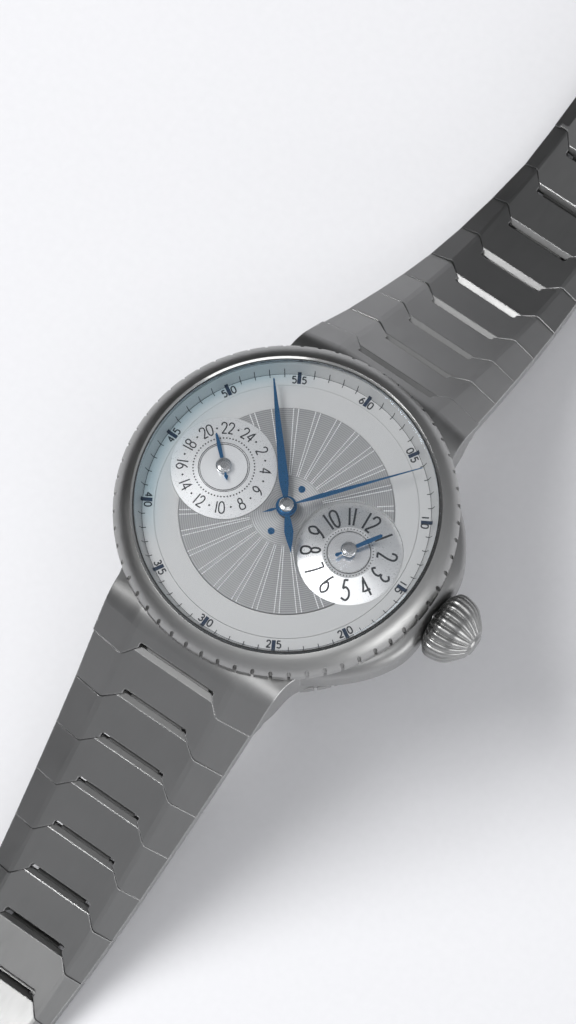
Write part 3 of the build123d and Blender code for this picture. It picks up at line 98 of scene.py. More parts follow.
# ---------------------------------------------------------------- materials
class Shade:
    """A material with a Principled shader, and short ways to add nodes to it."""

    def __init__(self, name):
        self.material = bpy.data.materials.new(name)
        self.material.use_nodes = True
        self.tree = self.material.node_tree
        self.shader = self.tree.nodes["Principled BSDF"]
        self.output = self.tree.nodes["Material Output"]

    def link(self, source, target):
        self.tree.links.new(source, target)

    def node(self, kind, *sources, **settings):
        """Adds a node, links or sets its inputs in order, and returns its first output."""
        made = self.tree.nodes.new("ShaderNode" + kind)
        for key, value in settings.items():
            setattr(made, key, value)
        for socket, source in zip(made.inputs, sources):
            self.feed(socket, source)
        return made.outputs[0]

    def feed(self, socket, source):
        """Links a socket to another one, or gives it a value."""
        if isinstance(source, bpy.types.NodeSocket):
            self.link(source, socket)
        else:
            socket.default_value = source

    def set(self, name, source):
        self.feed(self.shader.inputs[name], source)

    def maths(self, operation, *sources):
        return self.node("Math", *sources, operation=operation)

    def position(self):
        return self.node("TexCoord").node.outputs["Object"]

    def split(self, vector):
        return self.node("SeparateXYZ", vector).node.outputs

    def noise(self, vector, scale, detail=3.0):
        made = self.node("TexNoise", vector).node
        made.inputs["Scale"].default_value = scale
        made.inputs["Detail"].default_value = detail
        return made.outputs[0]

    def spread(self, value, low, high, out_low=0.0, out_high=1.0):
        """Map Range: value from low..high to out_low..out_high."""
        return self.node("MapRange", value, low, high, out_low, out_high)

    def vary(self, noise, out_low, out_high):
        """Noise turned into a range; nearly all of a noise lies between 0.3 and 0.7."""
        return self.spread(noise, 0.3, 0.7, out_low, out_high)

    def between(self, share, out_low, out_high):
        """A share from 0 to 1 turned into a range."""
        return self.spread(share, 0.0, 1.0, out_low, out_high)

    def below(self, value, limit, blur):
        """1 where a length is under a limit and 0 above it, both in millimetres."""
        return self.spread(value, (limit + blur) * MM, (limit - blur) * MM)

    def mix(self, share, first, second):
        made = self.tree.nodes.new("ShaderNodeMix")
        made.data_type = "RGBA"
        factor, colour_a, colour_b = made.inputs[0], made.inputs[6], made.inputs[7]
        self.feed(factor, share)
        self.feed(colour_a, first)
        self.feed(colour_b, second)
        return made.outputs[2]

    def bump(self, height, strength, distance, normal=None):
        """A bumped normal; the distance is in millimetres."""
        made = self.node("Bump").node
        made.inputs["Strength"].default_value = strength
        made.inputs["Distance"].default_value = distance * MM
        self.link(height, made.inputs["Height"])
        if normal is not None:
            self.link(normal, made.inputs["Normal"])
        return made.outputs[0]

    def stretched(self, scale):
        """Object position with each axis stretched: a small scale makes long grain."""
        made = self.node("Mapping", self.position()).node
        made.inputs["Scale"].default_value = scale
        return made.outputs[0]

    def turned(self, centre=(0.0, 0.0)):
        """Polar position about an upright axis, whose noise runs round it like a lathe's
        grain. Returns it with the radius and the angle."""
        x, y, z = self.split(self.position())
        dx = self.maths("SUBTRACT", x, centre[0] * MM)
        dy = self.maths("SUBTRACT", y, centre[1] * MM)
        radius = self.maths("SQRT", self.maths("ADD", self.maths("MULTIPLY", dx, dx),
                                               self.maths("MULTIPLY", dy, dy)))
        angle = self.maths("ARCTAN2", dy, dx)
        around = self.maths("MULTIPLY", angle, 2.0 * MM)
        return self.node("CombineXYZ", radius, around, z), radius, angle

    def edges(self, radius):
        """Rounded shading normal, and a mask that is high along sharp edges."""
        made = self.tree.nodes.new("ShaderNodeBevel")
        made.samples = 4
        made.inputs["Radius"].default_value = radius * MM
        geometry = self.node("NewGeometry").node.outputs["Normal"]
        agree = self.node("VectorMath", made.outputs[0], geometry, operation="DOT_PRODUCT").node
        mask = self.spread(agree.outputs["Value"], 0.985, 0.86)
        return made.outputs[0], mask


def rgba(value, tint=(1.0, 1.0, 1.0)):
    """A tint scaled by a value, as an opaque colour."""
    return (value * tint[0], value * tint[1], value * tint[2], 1.0)


def metal(name, colour, rough, grain, scale, bump, edge_highlight, edge_radius):
    """Satin or polished metal: grain along, round or even, with a highlight painted brighter along
    its sharp edges.
    """
    shade = Shade(name)
    if grain == "round":
        vector = shade.turned()[0]
    elif grain == "along":
        vector = shade.stretched((1.0, 0.03, 0.03))
    else:
        vector = shade.position()
    fine = shade.noise(vector, scale, 4.0)
    coarse = shade.noise(shade.position(), 120.0)
    normal, mask = shade.edges(edge_radius)
    dull = shade.vary(fine, rough * 0.88, rough * 1.12)
    dull = shade.maths("ADD", dull, shade.vary(coarse, -0.03, 0.03))
    shade.set("Roughness", shade.maths("MULTIPLY", dull, shade.between(mask, 1.0, 0.55)))
    base = shade.mix(fine, rgba(0.946, colour), rgba(1.054, colour))
    # Painted highlight: sharp edges get a brighter base colour.
    shade.set("Base Color", shade.mix(mask, base, rgba(edge_highlight, colour)))
    shade.set("Metallic", 1.0)
    shade.set("Normal", shade.bump(fine, bump, 0.004, normal))
    return shade.material


def frosted(name, value, tint=(1.0, 1.0, 1.0)):
    """Silver dial surface with a fine even grain."""
    shade = Shade(name)
    fine = shade.noise(shade.position(), 11000.0, 2.0)
    cloud = shade.noise(shade.position(), 260.0, 2.0)
    shade.set("Base Color", shade.mix(fine, rgba(value * 0.90, tint), rgba(value * 1.06, tint)))
    shade.set("Metallic", 0.3)
    shade.set("Roughness", shade.maths("ADD", shade.vary(fine, 0.36, 0.48),
                                       shade.vary(cloud, -0.02, 0.02)))
    shade.set("Normal", shade.bump(fine, 0.6, 0.01))
    return shade.material


def turned_silver(name, centre, polished_r, metallic):
    """Circular-turned small dial, with a polished middle that is smoother and painted brighter, a
    painted sheen.
    """
    shade = Shade(name)
    vector, radius = shade.turned(centre)[:2]
    fine = shade.noise(vector, 15000.0)
    middle = shade.below(radius, polished_r, 0.05)
    shade.set("Roughness", shade.maths("MULTIPLY", shade.vary(fine, 0.26, 0.38),
                                       shade.between(middle, 1.0, 0.6)))
    grain = shade.mix(fine, rgba(0.744), rgba(0.832))
    # Painted sheen: the polished middle gets a brighter base colour.
    shade.set("Base Color", shade.mix(shade.maths("MULTIPLY", middle, 0.8), grain, rgba(0.98)))
    shade.set("Metallic", metallic)
    shade.set("Normal", shade.bump(fine, 0.35, 0.006))
    return shade.material


def guilloche_silver(name, tone, metallic, depth):
    """Engine-turned silver: fine waves round the centre, deeper on the darker hub."""
    shade = Shade(name)
    wave_length = 0.26
    radius = shade.turned()[1]
    waves = shade.maths("SINE", shade.maths("MULTIPLY", radius, 2 * math.pi / (wave_length * MM)))
    fine = shade.noise(shade.position(), 14000.0, 2.0)
    hub = shade.below(radius, HUB_R, 0.03)
    cut = shade.maths("MULTIPLY", waves, shade.between(hub, 0.5 * depth, 1.2 * depth))
    height = shade.maths("ADD", cut, shade.maths("MULTIPLY", fine, 0.3))
    waved = shade.mix(shade.spread(waves, -1.0, 1.0), rgba(tone * 0.72), rgba(tone * 1.1))
    shade.set("Base Color", shade.mix(shade.maths("MULTIPLY", hub, 0.25), waved, rgba(0.3)))
    shade.set("Metallic", metallic)
    shade.set("Roughness", shade.vary(fine, 0.28, 0.40))
    shade.set("Normal", shade.bump(height, 0.5, 0.02))
    return shade.material


def blued(name):
    """Heat-blued steel: deep blue, slightly uneven, with a highlight painted brighter along its
    edges.
    """
    shade = Shade(name)
    blue = (0.010, 0.085, 0.20)
    fine = shade.noise(shade.stretched((1.0, 1.0, 0.2)), 9000.0)
    cloud = shade.noise(shade.position(), 420.0, 2.0)
    normal, mask = shade.edges(0.05)
    base = shade.mix(cloud, rgba(1.0, blue), rgba(1.35, blue))
    # Painted highlight: the edges get a brighter blue base colour.
    shade.set("Base Color", shade.mix(mask, base, rgba(2.0, blue)))
    shade.set("Metallic", 0.7)
    shade.set("Roughness", shade.vary(fine, 0.25, 0.37))
    shade.set("Coat Weight", 0.15)
    shade.set("Coat Roughness", 0.12)
    shade.set("Normal", shade.bump(fine, 0.1, 0.003, normal))
    return shade.material


def ink(name, colour, rough):
    """Printed ink with a slightly grainy surface."""
    shade = Shade(name)
    fine = shade.noise(shade.position(), 16000.0, 2.0)
    shade.set("Base Color", shade.mix(fine, rgba(0.8, colour), rgba(1.25, colour)))
    shade.set("Roughness", shade.vary(fine, rough - 0.08, rough + 0.08))
    shade.set("Normal", shade.bump(fine, 0.2, 0.004))
    return shade.material


def sapphire(name):
    """Clear coated crystal: what is under it shows, with a faint cool reflection on top and
    a blue-green painted reflection, a tint in its rim on the nine o'clock side."""
    shade = Shade(name)
    painted_flare_angle = math.radians(171.0)
    smear = shade.noise(shade.position(), 90.0, 2.0)
    radius, angle = shade.turned()[1:]
    # Painted reflection: a blue-green tint in the rim, strongest towards nine o'clock.
    rim = shade.spread(radius, 15.3 * MM, 16.4 * MM)
    aside = shade.maths("COSINE", shade.maths("SUBTRACT", angle, painted_flare_angle))
    painted_flare = shade.maths("MULTIPLY", rim, shade.spread(aside, 0.5, 0.8))
    tint = shade.mix(painted_flare, (0.995, 0.997, 1.0, 1.0), (0.88, 0.94, 0.965, 1.0))
    clear = shade.node("BsdfTransparent", tint)
    gloss = shade.node("BsdfGlossy").node
    shade.feed(gloss.inputs["Color"], shade.mix(smear, (0.75, 0.88, 1.0, 1.0), (0.9, 0.96, 1.0, 1.0)))
    shade.feed(gloss.inputs["Roughness"], shade.vary(smear, 0.02, 0.05))
    facing = shade.node("LayerWeight").node
    facing.inputs["Blend"].default_value = 0.5
    share = shade.between(facing.outputs["Facing"], 0.03, 0.4)
    mixed = shade.node("MixShader", share, clear, gloss.outputs[0])
    shade.link(mixed, shade.output.inputs["Surface"])
    return shade.material


def striped(name, colour):
    """Plate finish of a movement: broad lapped stripes with fine grain across them."""
    shade = Shade(name)
    pitch, slope = 1.6, 0.6
    x, y = shade.split(shade.position())[:2]
    across = shade.maths("ADD", x, shade.maths("MULTIPLY", y, slope))
    stripes = shade.maths("SINE", shade.maths("MULTIPLY", across, 2 * math.pi / (pitch * MM)))
    fine = shade.noise(shade.stretched((1.0, 0.05, 1.0)), 7000.0)
    normal = shade.edges(0.08)[0]
    height = shade.maths("ADD", stripes, shade.maths("MULTIPLY", fine, 0.2))
    shade.set("Base Color", shade.mix(shade.spread(stripes, -1.0, 1.0),
                                      rgba(0.85, colour), rgba(1.0, colour)))
    shade.set("Metallic", 1.0)
    shade.set("Roughness", shade.vary(fine, 0.24, 0.36))
    shade.set("Normal", shade.bump(height, 0.5, 0.03, normal))
    return shade.material


def bezel_metal(name, colour, rough, polished_r):
    """Circular satin bezel with a polished band inside a radius. The band is smoother; it and the
    sharp edges are also painted brighter, a painted highlight.
    """
    shade = Shade(name)
    vector, radius = shade.turned()[:2]
    fine = shade.noise(vector, 9000.0, 4.0)
    coarse = shade.noise(shade.position(), 140.0)
    normal, mask = shade.edges(0.12)
    polished = shade.below(radius, polished_r, 0.06)
    dull = shade.vary(fine, rough - 0.05, rough + 0.05)
    dull = shade.maths("ADD", dull, shade.vary(coarse, -0.03, 0.03))
    # Painted highlight: the polished band and the sharp edges get a brighter base colour; they are
    # also less rough.
    bright = shade.maths("MAXIMUM", polished, shade.maths("MULTIPLY", mask, 0.7))
    shade.set("Roughness", shade.maths("MULTIPLY", dull, shade.between(bright, 1.0, 0.3)))
    base = shade.mix(fine, rgba(0.95, colour), rgba(1.05, colour))
    shade.set("Base Color", shade.mix(bright, base, rgba(1.35, colour)))
    shade.set("Metallic", 1.0)
    shade.set("Normal", shade.bump(fine, 0.25, 0.004, normal))
    return shade.material


def rubber(name):
    """Dull black seal with a mould's fine texture."""
    shade = Shade(name)
    fine = shade.noise(shade.position(), 6000.0)
    shade.set("Base Color", shade.mix(fine, rgba(0.012), rgba(0.03)))
    shade.set("Roughness", shade.vary(fine, 0.5, 0.7))
    shade.set("Normal", shade.bump(fine, 0.3, 0.01))
    return shade.material


def wheel_and_pipe(name, split_z):
    """Brass wheel below a height and blackened steel above it, both turned."""
    shade = Shade(name)
    z = shade.split(shade.position())[2]
    fine = shade.noise(shade.turned()[0], 8000.0)
    lower = shade.below(z, split_z, 0.01)
    brass = shade.mix(fine, (0.70, 0.54, 0.27, 1.0), (0.82, 0.66, 0.36, 1.0))
    steel = shade.mix(fine, rgba(0.03), rgba(0.06))
    shade.set("Base Color", shade.mix(lower, steel, brass))
    shade.set("Metallic", 1.0)
    shade.set("Roughness", shade.vary(fine, 0.2, 0.32))
    shade.set("Normal", shade.bump(fine, 0.15, 0.004))
    return shade.material


def ruby(name):
    """Clear red synthetic jewel."""
    shade = Shade(name)
    cloud = shade.noise(shade.position(), 2500.0, 2.0)
    shade.set("Base Color", shade.mix(cloud, (0.45, 0.01, 0.06, 1.0), (0.75, 0.03, 0.12, 1.0)))
    shade.set("Roughness", shade.vary(cloud, 0.04, 0.10))
    shade.set("Coat Weight", 0.8)
    shade.set("Coat Roughness", 0.03)
    return shade.material


SATIN = (0.31, 0.31, 0.308)
POLISHED = (0.33, 0.33, 0.325)
# The bezel is the same steel as the case, painted lighter so that it comes out brighter: painted
# light.
BEZEL = (0.37, 0.37, 0.365)
BRASS = (0.76, 0.60, 0.32)
BRIGHT_STEEL = (0.66, 0.66, 0.66)
PLATE = (0.66, 0.66, 0.64)
FINISHES = {
    "steel_satin": metal("steel_satin_finish", SATIN, 0.38, grain="along", scale=11000.0,
                         bump=0.30, edge_highlight=2.2, edge_radius=0.2),
    "steel_bezel": bezel_metal("steel_bezel_finish", BEZEL, 0.36, polished_r=18.76),
    "steel_polished": metal("steel_polished_finish", POLISHED, 0.30, grain="even", scale=5000.0,
                            bump=0.05, edge_highlight=1.3, edge_radius=0.06),
    "steel_plate": striped("steel_plate_finish", PLATE),
    "silver_frosted": frosted("silver_frosted_finish", 0.60, (1.0, 1.0, 0.99)),
    "silver_guilloche": guilloche_silver("silver_guilloche_finish", tone=0.42, metallic=0.6,
                                         depth=1.0),
    "silver_turned": frosted("silver_turned_finish", 0.85),
    "blued_steel": blued("blued_steel_finish"),
    "movement_brass": metal("movement_brass_finish", BRASS, 0.22, grain="round", scale=8000.0,
                            bump=0.15, edge_highlight=1.2, edge_radius=0.04),
    "movement_steel": metal("movement_steel_finish", BRIGHT_STEEL, 0.18, grain="even",
                            scale=8000.0, bump=0.10, edge_highlight=1.2, edge_radius=0.04),
    "sapphire": sapphire("sapphire_finish"),
    "ruby": ruby("ruby_finish"),
    "gasket_rubber": rubber("gasket_rubber_finish"),
}
RIB_SILVER = guilloche_silver("guilloche_rib_finish", tone=1.0, metallic=0.15, depth=0.1)
DARK_INK = ink("dark_ink", (0.016, 0.017, 0.020), 0.45)
NAVY_INK = ink("navy_ink", (0.006, 0.018, 0.045), 0.3)


def give(obj, material):
    """Puts one material on every slot of an object."""
    if not obj.material_slots:
        obj.data.materials.append(material)
    for slot in obj.material_slots:
        slot.material = material


SLOT_OF = {part["node"]: part["material_slot"] for part in frame["record"]["subparts"]}
for node, obj in NODES.items():
    give(obj, FINISHES[SLOT_OF[node]])
give(NODES["hour_subdial"], turned_silver("hour_dial_finish", HOUR_DIAL, 2.5, 0.8))
give(NODES["zone_subdial"], turned_silver("zone_dial_finish", ZONE_DIAL, 3.0, 0.5))
give(NODES["centre_wheel"], wheel_and_pipe("centre_wheel_finish", split_z=7.9))


# ---------------------------------------------------------------- building meshes
def join_rings(mesh, rings, closed=False):
    """Faces between rings of equally many points; a closed band runs back to its start."""
    pairs = list(zip(rings, rings[1:]))
    if closed:
        pairs.append((rings[-1], rings[0]))
    for first, second in pairs:
        count = len(first)
        for k in range(count):
            mesh.faces.new((first[k], first[(k + 1) % count], second[(k + 1) % count], second[k]))


def close_ends(mesh, rings):
    mesh.faces.new(rings[0])
    mesh.faces.new(list(reversed(rings[-1])))


def make_piece(mesh, name, body, material, smooth=False):
    """Turns a bmesh into an object that rides on a CAD body."""
    bmesh.ops.recalc_face_normals(mesh, faces=mesh.faces)
    data = bpy.data.meshes.new(name)
    mesh.to_mesh(data)
    mesh.free()
    for face in data.polygons:
        face.use_smooth = smooth
    obj = bpy.data.objects.new(name, data)
    bpy.context.scene.collection.objects.link(obj)
    obj.data.materials.append(material)
    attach(obj, body)
    return obj


# ---------------------------------------------------------------- lines on the dial
def on_circle(radius, degrees_clockwise, centre=(0.0, 0.0)):
    """Point at a clockwise angle from twelve o'clock."""
    angle = math.radians(degrees_clockwise)
    return (centre[0] + radius * math.sin(angle), centre[1] + radius * math.cos(angle))


def ring_points(radius, centre=(0.0, 0.0), steps=120):
    return [on_circle(radius, 360.0 * i / steps, centre) for i in range(steps)]


def radial_line(degrees, start, end, steps):
    """Points along a radius, close enough together to follow the flange."""
    return [on_circle(start + (end - start) * i / steps, degrees) for i in range(steps + 1)]


def smooth_curve(points, closed=False, steps=8):
    """Catmull-Rom curve through the points."""
    count = len(points)
    made = []
    for i in range(count if closed else count - 1):
        p = [points[(i + k - 1) % count] if closed else points[min(max(i + k - 1, 0), count - 1)]
             for k in range(4)]
        for step in range(steps):
            t = step / steps
            made.append(tuple(
                0.5 * (2 * b + (c - a) * t + (2 * a - 5 * b + 4 * c - d) * t * t
                       + (3 * b - a - 3 * c + d) * t ** 3)
                for a, b, c, d in zip(*p)))
    if not closed:
        made.append(points[-1])
    return made


def densify(points, steps=4):
    """Straight lines with extra points, so that they can follow a curved surface."""
    made = []
    for a, b in zip(points, points[1:]):
        for step in range(steps):
            t = step / steps
            made.append((a[0] + (b[0] - a[0]) * t, a[1] + (b[1] - a[1]) * t))
    made.append(points[-1])
    return made


def cone_height(radius, edge_r, cone):
    flat_r, flat_z, edge_z = cone
    return flat_z - max(0.0, radius - flat_r) * (flat_z - edge_z) / (edge_r - flat_r)


def dial_surface(x, y):
    """Height of the dial's surface under a point, in millimetres."""
    hour_r = math.hypot(x - HOUR_DIAL[0], y)
    zone_r = math.hypot(x - ZONE_DIAL[0], y)
    if hour_r < HOUR_DIAL_R:
        return cone_height(hour_r, HOUR_DIAL_R, HOUR_CONE)
    if zone_r < ZONE_DIAL_R:
        return cone_height(zone_r, ZONE_DIAL_R, ZONE_CONE)
    return DIAL_Z + max(0.0, math.hypot(x, y) - FLANGE_R) * FLANGE_RISE


INK_H = 0.025


def add_ribbon(mesh, points, width, closed=False):
    """A printed line of even width along (x, y) points, as a thin closed body on the dial."""
    count = len(points)
    rings = []
    for i, point in enumerate(points):
        before = points[(i - 1) % count] if closed or i > 0 else point
        after = points[(i + 1) % count] if closed or i < count - 1 else point
        dx, dy = after[0] - before[0], after[1] - before[1]
        length = math.hypot(dx, dy) or 1.0
        nx, ny = -dy / length * width / 2, dx / length * width / 2
        ring = []
        for side, rise in ((1, -INK_H), (1, INK_H), (-1, INK_H), (-1, -INK_H)):
            x, y = point[0] + side * nx, point[1] + side * ny
            ring.append(mesh.verts.new((x * MM, y * MM, (dial_surface(x, y) + rise) * MM)))
        rings.append(ring)
    join_rings(mesh, rings, closed)
    if not closed:
        close_ends(mesh, rings)


def add_dots(mesh, radius, count, size, centre, start=0.0):
    """A ring of evenly spaced square dots."""
    for step in range(count):
        x, y = on_circle(radius, start + 360.0 * step / count, centre)
        add_ribbon(mesh, [(x - size / 2, y), (x + size / 2, y)], size)


# ---------------------------------------------------------------- numbers
# Narrow one-line digits in a unit square: "line" is straight, "curve" open, "loop" closed.
SIX_CURVE = [(0.86, 0.98), (0.45, 0.78), (0.14, 0.45), (0.08, 0.2), (0.5, 0.0),
             (0.94, 0.2), (0.86, 0.46), (0.5, 0.58), (0.15, 0.42)]
DIGITS = {
    "0": [("loop", [(0.5, 1.0), (0.9, 0.86), (1.0, 0.5), (0.9, 0.14), (0.5, 0.0),
                    (0.1, 0.14), (0.0, 0.5), (0.1, 0.86)])],
    "1": [("line", [(0.5, 0.0), (0.5, 1.0)])],
    "2": [("curve", [(0.06, 0.74), (0.18, 0.93), (0.5, 1.0), (0.86, 0.9), (0.92, 0.68),
                     (0.66, 0.38), (0.03, 0.0)]),
          ("line", [(0.03, 0.0), (1.0, 0.0)])],
    "3": [("curve", [(0.08, 0.88), (0.48, 1.0), (0.88, 0.86), (0.82, 0.62), (0.4, 0.54)]),
          ("curve", [(0.4, 0.54), (0.88, 0.44), (0.96, 0.2), (0.55, 0.0), (0.04, 0.12)])],
    "4": [("line", [(0.74, 0.0), (0.74, 1.0), (0.0, 0.3), (1.0, 0.3)])],
    "5": [("line", [(0.92, 1.0), (0.2, 1.0), (0.12, 0.56)]),
          ("curve", [(0.12, 0.56), (0.5, 0.64), (0.92, 0.5), (0.96, 0.2), (0.58, 0.0), (0.04, 0.1)])],
    "6": [("curve", SIX_CURVE)],
    "7": [("line", [(0.0, 1.0), (1.0, 1.0), (0.34, 0.0)])],
    "8": [("loop", [(0.5, 1.0), (0.86, 0.88), (0.82, 0.62), (0.5, 0.54), (0.18, 0.62), (0.14, 0.88)]),
          ("loop", [(0.5, 0.54), (0.94, 0.4), (0.92, 0.1), (0.5, 0.0), (0.08, 0.1), (0.06, 0.4)])],
    "9": [("curve", [(1 - x, 1 - y) for x, y in SIX_CURVE])],
}
NARROW = {"1": 0.35}
# Sizes of the printed digits, with the width of their line and the space between two of them.
MINUTE_DIGITS = {"height": 0.86, "width": 0.5, "weight": 0.17, "gap": 0.72}
ZONE_DIGITS = {"height": 1.42, "width": 0.66, "weight": 0.16, "gap": 0.185}
HOUR_DIGITS = {"height": 2.35, "width": 0.86, "weight": 0.25, "gap": 0.327}


def add_number(mesh, text, degrees, radius, flipped, centre, height, width, weight, gap):
    """A number printed round a circle: tops outward, or inward when flipped."""
    sign = -1.0 if flipped else 1.0
    widths = [width * NARROW.get(digit, 1.0) for digit in text]
    left = -(sum(widths) + (len(text) - 1) * gap) / 2
    for digit, digit_w in zip(text, widths):
        for kind, outline in DIGITS[digit]:
            line = densify(outline) if kind == "line" else smooth_curve(outline, kind == "loop")
            placed = []
            for u, v in line:
                turn = math.degrees(sign * (left + u * digit_w) / radius)
                up = sign * (v - 0.5) * height
                placed.append(on_circle(radius + up, degrees + turn, centre))
            add_ribbon(mesh, placed, weight, closed=kind == "loop")
        left += digit_w + gap


# ---------------------------------------------------------------- printed dial marks
DIAL_CENTRE = (0.0, 0.0)
FINE_LINE_W = 0.06
TICK_W = 0.1
BAR_W = 0.46
MINUTE_LINE_R = 17.42
MINUTE_TICK = (17.02, 17.83)
MINUTE_BAR = (16.22, 17.62)
MINUTE_NUMBER_R = 16.72


def minute_track():
    """Line, ticks and numbers of the minute track, and the bars that split the numbers."""
    marks = bmesh.new()
    add_ribbon(marks, ring_points(MINUTE_LINE_R, steps=240), FINE_LINE_W, closed=True)
    for minute in range(60):
        if minute % 5:
            add_ribbon(marks, radial_line(6.0 * minute, *MINUTE_TICK, steps=9), TICK_W)
    for minute in range(5, 61, 5):
        flipped = 20 <= minute <= 40
        add_number(marks, "%02d" % minute, 6.0 * minute, MINUTE_NUMBER_R, flipped, DIAL_CENTRE,
                   **MINUTE_DIGITS)
    make_piece(marks, "minute_track_print", "head", DARK_INK)
    bars = bmesh.new()
    for minute in range(0, 60, 5):
        add_ribbon(bars, radial_line(6.0 * minute, *MINUTE_BAR, steps=10), BAR_W)
    make_piece(bars, "minute_track_bars", "head", NAVY_INK)


ZONE_NUMBER_R = 5.05
ZONE_SCALE_R = 3.72
ZONE_LINES_R = (2.9, 3.1)
ZONE_DOT = 0.22
ZONE_SCALE_DOT = 0.17


def zone_print():
    """Even hours to 24 round the second time zone dial, with dots and a fine scale."""
    marks = bmesh.new()
    centre = ZONE_DIAL[:2]
    for hour in range(2, 25, 2):
        flipped = 8 <= hour <= 16
        add_number(marks, str(hour), 15.0 * hour, ZONE_NUMBER_R, flipped, centre, **ZONE_DIGITS)
    add_dots(marks, ZONE_NUMBER_R, 12, ZONE_DOT, centre, start=15.0)
    add_dots(marks, ZONE_SCALE_R, 60, ZONE_SCALE_DOT, centre)
    for radius in ZONE_LINES_R:
        add_ribbon(marks, ring_points(radius, centre), FINE_LINE_W, closed=True)
    make_piece(marks, "zone_dial_print", "head", DARK_INK)


HOUR_NUMBER_R = 4.62
HOUR_SCALE_R = 2.95
HOUR_SCALE_DOT = 0.13
HOUR_LINE_R = 2.62
HOUR_LINE_W = 0.07


def hour_print():
    """Tall narrow numerals from 1 to 12 on the hour dial."""
    marks = bmesh.new()
    centre = HOUR_DIAL[:2]
    for hour in range(1, 13):
        flipped = 4 <= hour <= 8
        add_number(marks, str(hour), 30.0 * hour, HOUR_NUMBER_R, flipped, centre, **HOUR_DIGITS)
    add_dots(marks, HOUR_SCALE_R, 48, HOUR_SCALE_DOT, centre)
    add_ribbon(marks, ring_points(HOUR_LINE_R, centre), HOUR_LINE_W, closed=True)
    make_piece(marks, "hour_dial_print", "head", DARK_INK)


# ---------------------------------------------------------------- rays of the engine-turned disc
SECTORS = 30
RIB_CLEARANCE = 0.08
RIB_SHORTEST = 0.15
RIB_HEIGHT = 0.13
RIB_SUNK = 0.02
# half width of a ray at the centre, and how much that grows with each millimetre of radius
RIB_HALF_W = 0.0447
RIB_GROWTH = 0.00134
# share of that half width which is the ray's flat top
RIB_TOP = 0.45
# degrees from the middle of a pair to each ray
RIB_ASIDE = 1.35
RIB_STEPS = 8


def visible_spans(degrees, start, end):
    """Parts of a radius that aren't under either small dial."""
    spans = [(start, end)]
    for centre_x, dial_r in ((HOUR_DIAL[0], HOUR_DIAL_R), (ZONE_DIAL[0], ZONE_DIAL_R)):
        along = centre_x * math.sin(math.radians(degrees))
        inside = along ** 2 - centre_x ** 2 + (dial_r + RIB_CLEARANCE) ** 2
        if inside <= 0:
            continue
        near, far = along - math.sqrt(inside), along + math.sqrt(inside)
        cut = []
        for low, high in spans:
            cut.append((low, min(high, near)))
            cut.append((max(low, far), high))
        spans = [(low, high) for low, high in cut if high - low > RIB_SHORTEST]
    return spans


def rib_section(mesh, radius, degrees):
    """Four points across a ray: a low ridge that widens a little towards the rim."""
    half_w = RIB_HALF_W + RIB_GROWTH * radius
    section = []
    for share, rise in ((-1.0, -RIB_SUNK), (-RIB_TOP, RIB_HEIGHT), (RIB_TOP, RIB_HEIGHT),
                        (1.0, -RIB_SUNK)):
        x, y = on_circle(radius, degrees + math.degrees(share * half_w / radius))
        section.append(mesh.verts.new((x * MM, y * MM, (GUILLOCHE_Z + rise) * MM)))
    return section


def guilloche_ribs():
    """Pairs of raised rays between the sectors of the engine-turned disc."""
    ribs = bmesh.new()
    for sector in range(SECTORS):
        for side in (-1, 1):
            degrees = 360.0 / SECTORS * (sector + 0.5) + side * RIB_ASIDE
            for low, high in visible_spans(degrees, HUB_R + RIB_CLEARANCE, GUILLOCHE_R):
                radii = [low + (high - low) * step / RIB_STEPS for step in range(RIB_STEPS + 1)]
                rings = [rib_section(ribs, radius, degrees) for radius in radii]
                join_rings(ribs, rings)
                close_ends(ribs, rings)
    make_piece(ribs, "guilloche_ribs", "head", RIB_SILVER)


# ---------------------------------------------------------------- crown
CROWN_RIBS = 24
STEPS_PER_RIB = 16
GROOVE_DEPTH = 0.34
CROWN_BORE_R = 1.39
CROWN_BORE_DEPTH = 2.4
# rings of the flat cap: distance back from the crown's end, and radius
CROWN_CAP = ((0.34, 1.5), (0.12, 1.42), (0.02, 1.3), (0.0, 1.15))


def crown_profile(foot_x, end_x, full_r):
    """(x, radius) along the ribs, from the foot to where they meet the cap."""
    return smooth_curve([
        (foot_x, 2.9), (foot_x + 0.1, 3.25), (foot_x + 0.4, 3.65), (foot_x + 1.0, full_r - 0.1),
        (foot_x + 2.1, full_r), (foot_x + 3.7, full_r - 0.55), (end_x - 0.5, 2.15),
        (end_x - 0.32, 1.72)])


def groove_depth(share, radius):
    """Grooves deepen quickly at the foot and run out where the ribs meet the cap."""
    return GROOVE_DEPTH * min(1.0, 6 * share) * min(1.0, (radius - 1.6) / 1.4)


def crown_ring(mesh, x, axis_z, radius, groove=0.0):
    """A ring of points round the crown's axis, drawn in between the ribs by a depth."""
    count = CROWN_RIBS * STEPS_PER_RIB
    ring = []
    for step in range(count):
        angle = 2 * math.pi * step / count
        valley = 1 - abs(math.sin(CROWN_RIBS * angle / 2))
        r = radius - groove * valley ** 1.6
        ring.append(mesh.verts.new((
            x * MM, r * math.sin(angle) * MM, (axis_z + r * math.cos(angle)) * MM)))
    return ring


